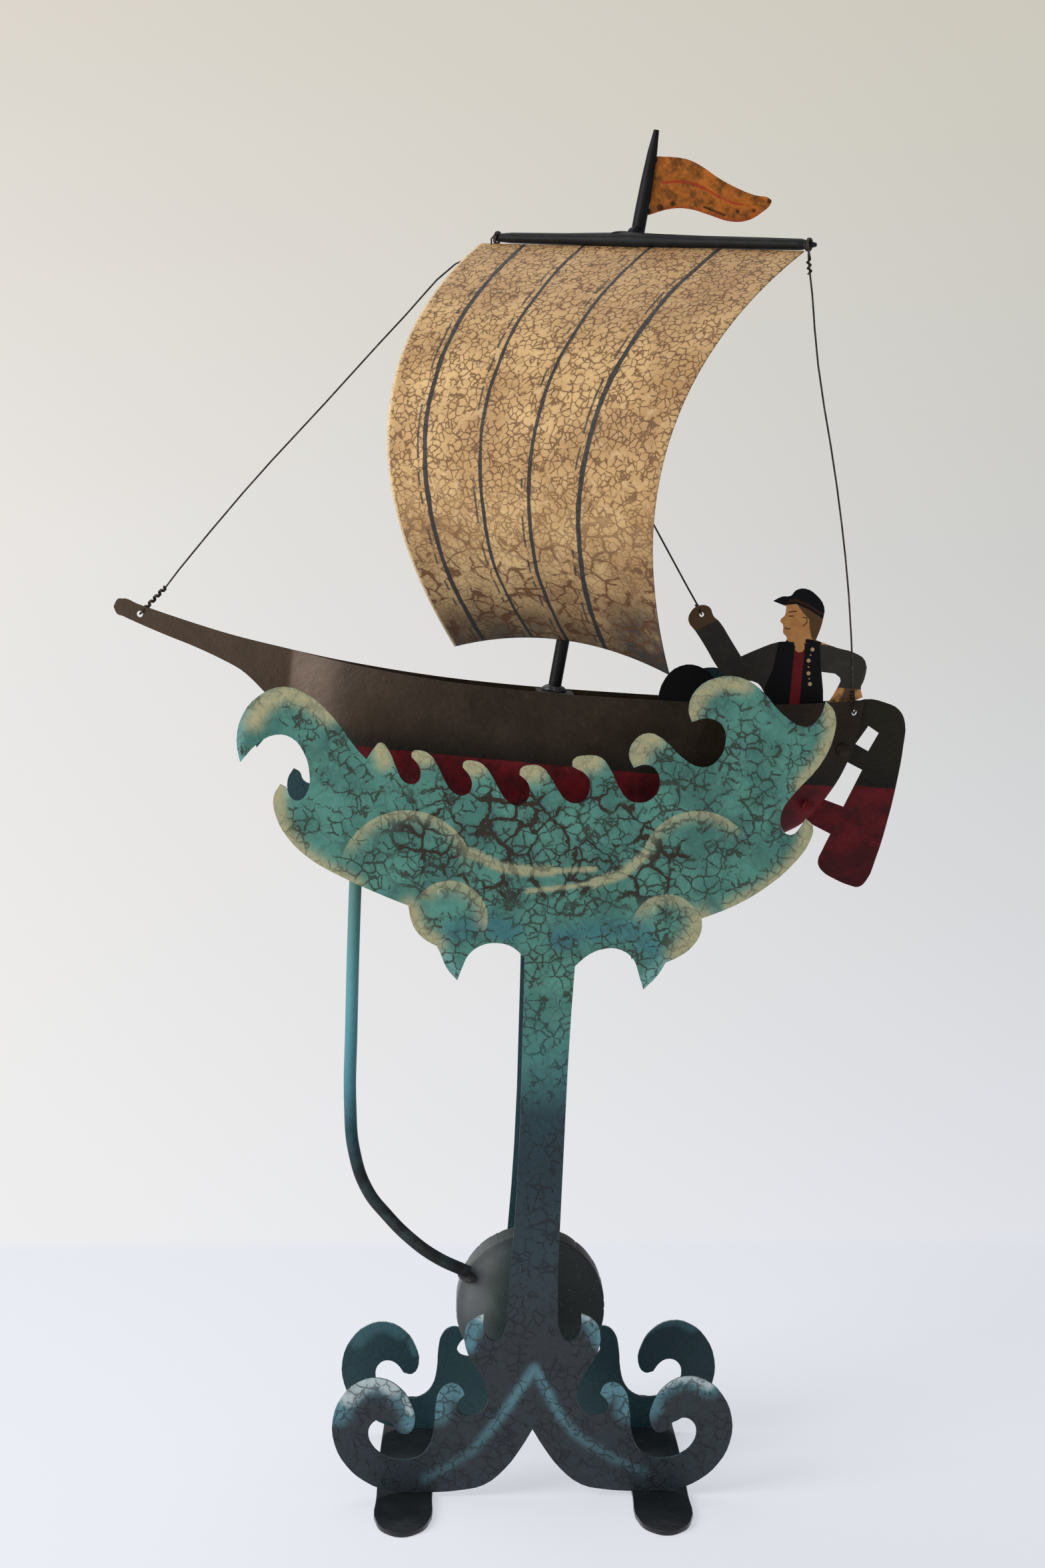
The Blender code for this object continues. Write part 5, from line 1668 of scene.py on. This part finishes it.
@dataclass
class Balance:
    """The bent rod and the heavy disc that keep the boat upright."""

    rod_radius: float = 2.75
    rod_top: Vector = field(default_factory=lambda: Vector((-85.0, 0.0, 29.3)))
    bends: tuple[tuple[float, float, float], ...] = (
        (-83.4, 0.0, -11.0), (-79.8, 0.0, -76.0), (-77.4, 0.0, -110.0), (-74.0, 0.0, -130.0),
        (-66.6, 0.0, -147.0), (-57.0, 0.181, -157.0), (-46.0, 0.6, -165.2),
        (-34.0, 1.0, -171.4), (-19.0, 1.0, -177.0))
    disc_bead: Bead = Bead("disc_weld", (-19.5, -1.2, -179.6), (4.6, 2.0, 2.4), 20.0, 2.0)
    hull_bead: Bead = Bead("hull_weld", (0.0, 0.0, -0.6), (4.8, 4.4, 1.8), -30.0, 11.0)
    disc_radius: float = 33.0
    disc_thickness: float = 16.0
    disc_round: float = 5.0
    fades: tuple[tuple[float, Colour], ...] = (
        (-190.0, (0.014, 0.014, 0.015)), (-142.0, (0.016, 0.018, 0.020)), (-120.0, (0.024, 0.066, 0.080)),
        (-100.0, (0.070, 0.215, 0.265)), (-60.0, (0.105, 0.300, 0.330)), (0.0, (0.090, 0.190, 0.150)),
        (30.0, (0.078, 0.160, 0.125)))

    def route(self) -> list[Vector]:
        """The rod's centre line, down from the hull and round to the disc's front."""
        front = -(0.5 * self.disc_thickness + self.rod_radius + GAP)
        return [self.rod_top] + [Vector((x, front * forward, z)) for x, forward, z in self.bends]

    def disc(self) -> bpy.types.Object:
        """The cast disc, its edge rounded and a little uneven."""
        drop_selection()
        bpy.ops.mesh.primitive_cylinder_add(vertices=120, radius=self.disc_radius,
                                            depth=self.disc_thickness, rotation=(QUARTER_TURN, 0.0, 0.0))
        piece = bpy.context.active_object
        piece.name = "balance_disc_cast"
        bpy.ops.object.transform_apply(location=True, rotation=True, scale=True)
        edit(piece, lambda: bpy.ops.mesh.select_all(action="DESELECT"),
             lambda: bpy.ops.mesh.edges_select_sharp(sharpness=CORNER),
             lambda: bpy.ops.mesh.bevel(offset=self.disc_round, segments=6, clamp_overlap=True))
        for vertex in piece.data.vertices:
            radius = math.hypot(vertex.co.x, vertex.co.z)
            if radius > 0.8 * self.disc_radius:
                ragged = noise.noise(Vector((vertex.co.x, 0.0, vertex.co.z)) * 0.16)
                chip = max(0.0, noise.noise(Vector((vertex.co.x, 9.0, vertex.co.z)) * 0.6) - 0.2)
                vertex.co *= 1.0 - (0.006 * (1.0 + ragged) + 0.02 * chip)
            vertex.co += Vector((DISC_MIDDLE[0], 0.0, DISC_MIDDLE[1]))
        settle(piece, Place.BOAT)
        ease(piece)
        return piece

    def build(self) -> None:
        """Make and dress every piece."""
        paint = SparPaint(light=(0.120, 0.230, 0.240), fades=self.fades)
        rod = drawn_rod("balance_rod_bent", self.route(), self.rod_radius, blunt=0.7)
        dress(rod, "boat", "rod_paint", paint.material("rod_paint"), replaces="balance_rod")
        dress(self.disc(), "boat", "disc_paint", DiscPaint().material("disc_paint"),
              replaces="balance_disc")
        solder = SOLDER.material("weld")
        weld = self.disc_bead.build(Vector((0.0, -0.5 * self.disc_thickness, 0.0)))
        dress(weld, "boat", "disc_paint", solder)
        dress(self.hull_bead.build(self.rod_top), "boat", "rod_paint", solder)


# ------------------------------------------------------------------------------------------ studio

@dataclass(frozen=True)
class Lamp:
    """A soft square light: where it is and how wide, in metres, its power in watts and its colour."""

    name: str
    place_m: tuple[float, float, float]
    size_m: float
    power: float
    colour: Colour


@dataclass
class Studio:
    """A plain pale floor, soft light mostly from the left, and the camera."""

    camera_m: Vector = field(default_factory=lambda: Vector((-0.01576, -1.12492, 0.40499)))
    tilt: float = math.radians(84.93)
    turn: float = math.radians(-1.04)
    lens: float = 59.69
    sensor: float = 36.0
    clip_m: tuple[float, float] = (0.01, 100.0)
    aim_m: Vector = field(default_factory=lambda: Vector((0.0, 0.0, 0.28)))
    lamps: tuple[Lamp, ...] = (
        Lamp("window", (-1.25, -0.70, 0.85), 1.0, 20.0, (1.0, 0.985, 0.96)),
        Lamp("sky", (-0.35, 0.45, 1.70), 1.5, 11.0, (0.96, 0.98, 1.0)))
    room: Colour = (0.22, 0.23, 0.245)
    floor_m: float = 30.0
    paper_edge_m: tuple[float, float] = (0.36, 0.395)
    white: Colour = (0.84, 0.86, 0.91)
    glow: Colour = (0.90, 0.925, 0.985)
    glow_share: float = 0.55
    left: tuple[Colour, ...] = ((0.863, 0.863, 0.868), (0.823, 0.799, 0.776), (0.716, 0.672, 0.604))
    right: tuple[Colour, ...] = ((0.752, 0.768, 0.823), (0.617, 0.617, 0.604), (0.610, 0.584, 0.503))
    heights: tuple[float, ...] = (-0.28, 0.0, 0.21)
    reach: tuple[float, float] = (-0.19, 0.21)

    def build(self) -> None:
        """Make the camera, the lights, the world and the floor."""
        scene = bpy.context.scene
        scene.view_settings.view_transform = "Standard"
        drop_selection()
        bpy.ops.object.camera_add(location=self.camera_m, rotation=(self.tilt, 0.0, self.turn))
        camera = bpy.context.active_object
        camera.data.lens = self.lens
        camera.data.sensor_width = self.sensor
        camera.data.clip_start, camera.data.clip_end = self.clip_m
        scene.camera = camera
        for lamp in self.lamps:
            self.light(lamp)
        self.world(scene)
        self.floor()

    def light(self, lamp: Lamp) -> None:
        """Hang a lamp, facing the middle of the object."""
        drop_selection()
        bpy.ops.object.light_add(type="AREA", location=lamp.place_m)
        light = bpy.context.active_object
        light.name = lamp.name
        light.data.size = lamp.size_m
        light.data.energy = lamp.power
        light.data.color = lamp.colour
        aim = self.aim_m - Vector(lamp.place_m)
        light.rotation_euler = aim.to_track_quat("-Z", "Y").to_euler()

    def wall_tone(self, board: Board, x: Value, y: Value, z: Value | float) -> Value:
        """The wall's tone in a direction: warmer towards the top and darker towards the right.

        Args:
            board: The board to paint on.
            x: The direction's part along X, of any length.
            y: Its part along Y.
            z: Its part along Z.

        Returns:
            The tone.
        """
        level = (x * x + y * y).math("SQRT")
        up = level.math("POWER", -1.0) * z
        low, high = self.heights[0], self.heights[-1]
        left = board.ramp(up, low, high, tuple(zip(self.heights, self.left)))
        right = board.ramp(up, low, high, tuple(zip(self.heights, self.right)))
        across = board.node("ShaderNodeMapRange", {}, {0: x / level, 1: self.reach[0], 2: self.reach[1]})
        return board.mix(across, left, right)

    def world(self, scene: bpy.types.Scene) -> None:
        """A dim room for the light, with the pale wall where the camera looks past the floor."""
        world = bpy.data.worlds.new("room")
        scene.world = world
        world.use_nodes = True
        board = Board(world.node_tree)
        path = board.node("ShaderNodeLightPath", output="Is Camera Ray")
        direction = board.parts_of(board.node("ShaderNodeTexCoord", output="Generated"))
        room = board.node("ShaderNodeBackground", {}, {"Color": self.room})
        wall = board.node("ShaderNodeBackground", {}, {"Color": self.wall_tone(board, *direction)})
        board.close(board.node("ShaderNodeMixShader", {}, {0: path, 1: room, 2: wall}), "World")

    def floor(self) -> None:
        """A white table top that runs on into the wall's own tone."""
        drop_selection()
        bpy.ops.mesh.primitive_plane_add(size=self.floor_m)
        plane = bpy.context.active_object
        plane.name = "floor"
        board = PaintBoard("floor_paper", Place.STAND)
        x, y, _ = board.parts_of(board.node("ShaderNodeTexCoord", output="Object"))
        tone = self.wall_tone(board, x - self.camera_m.x, y - self.camera_m.y, -self.camera_m.z)
        paper = board.node("ShaderNodeBsdfDiffuse", {}, {"Color": self.white})
        bright = board.node("ShaderNodeEmission", {}, {"Color": self.glow})
        paper = board.node("ShaderNodeMixShader", {}, {0: self.glow_share, 1: paper, 2: bright})
        wall = board.node("ShaderNodeEmission", {}, {"Color": tone})
        share = y.rise(*self.paper_edge_m)
        board.close(board.node("ShaderNodeMixShader", {}, {0: share, 1: paper, 2: wall}))
        plane.data.materials.append(board.material)


def main() -> None:
    """Build everything in order."""
    logging.basicConfig(level=logging.INFO, format="%(message)s")
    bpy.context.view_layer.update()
    Studio().build()
    for assembly in (Stand(), Hull(), Rig(), Crew(), Balance()):
        assembly.build()
        log.info("%s done", type(assembly).__name__)


if __name__ == "__main__":
    main()
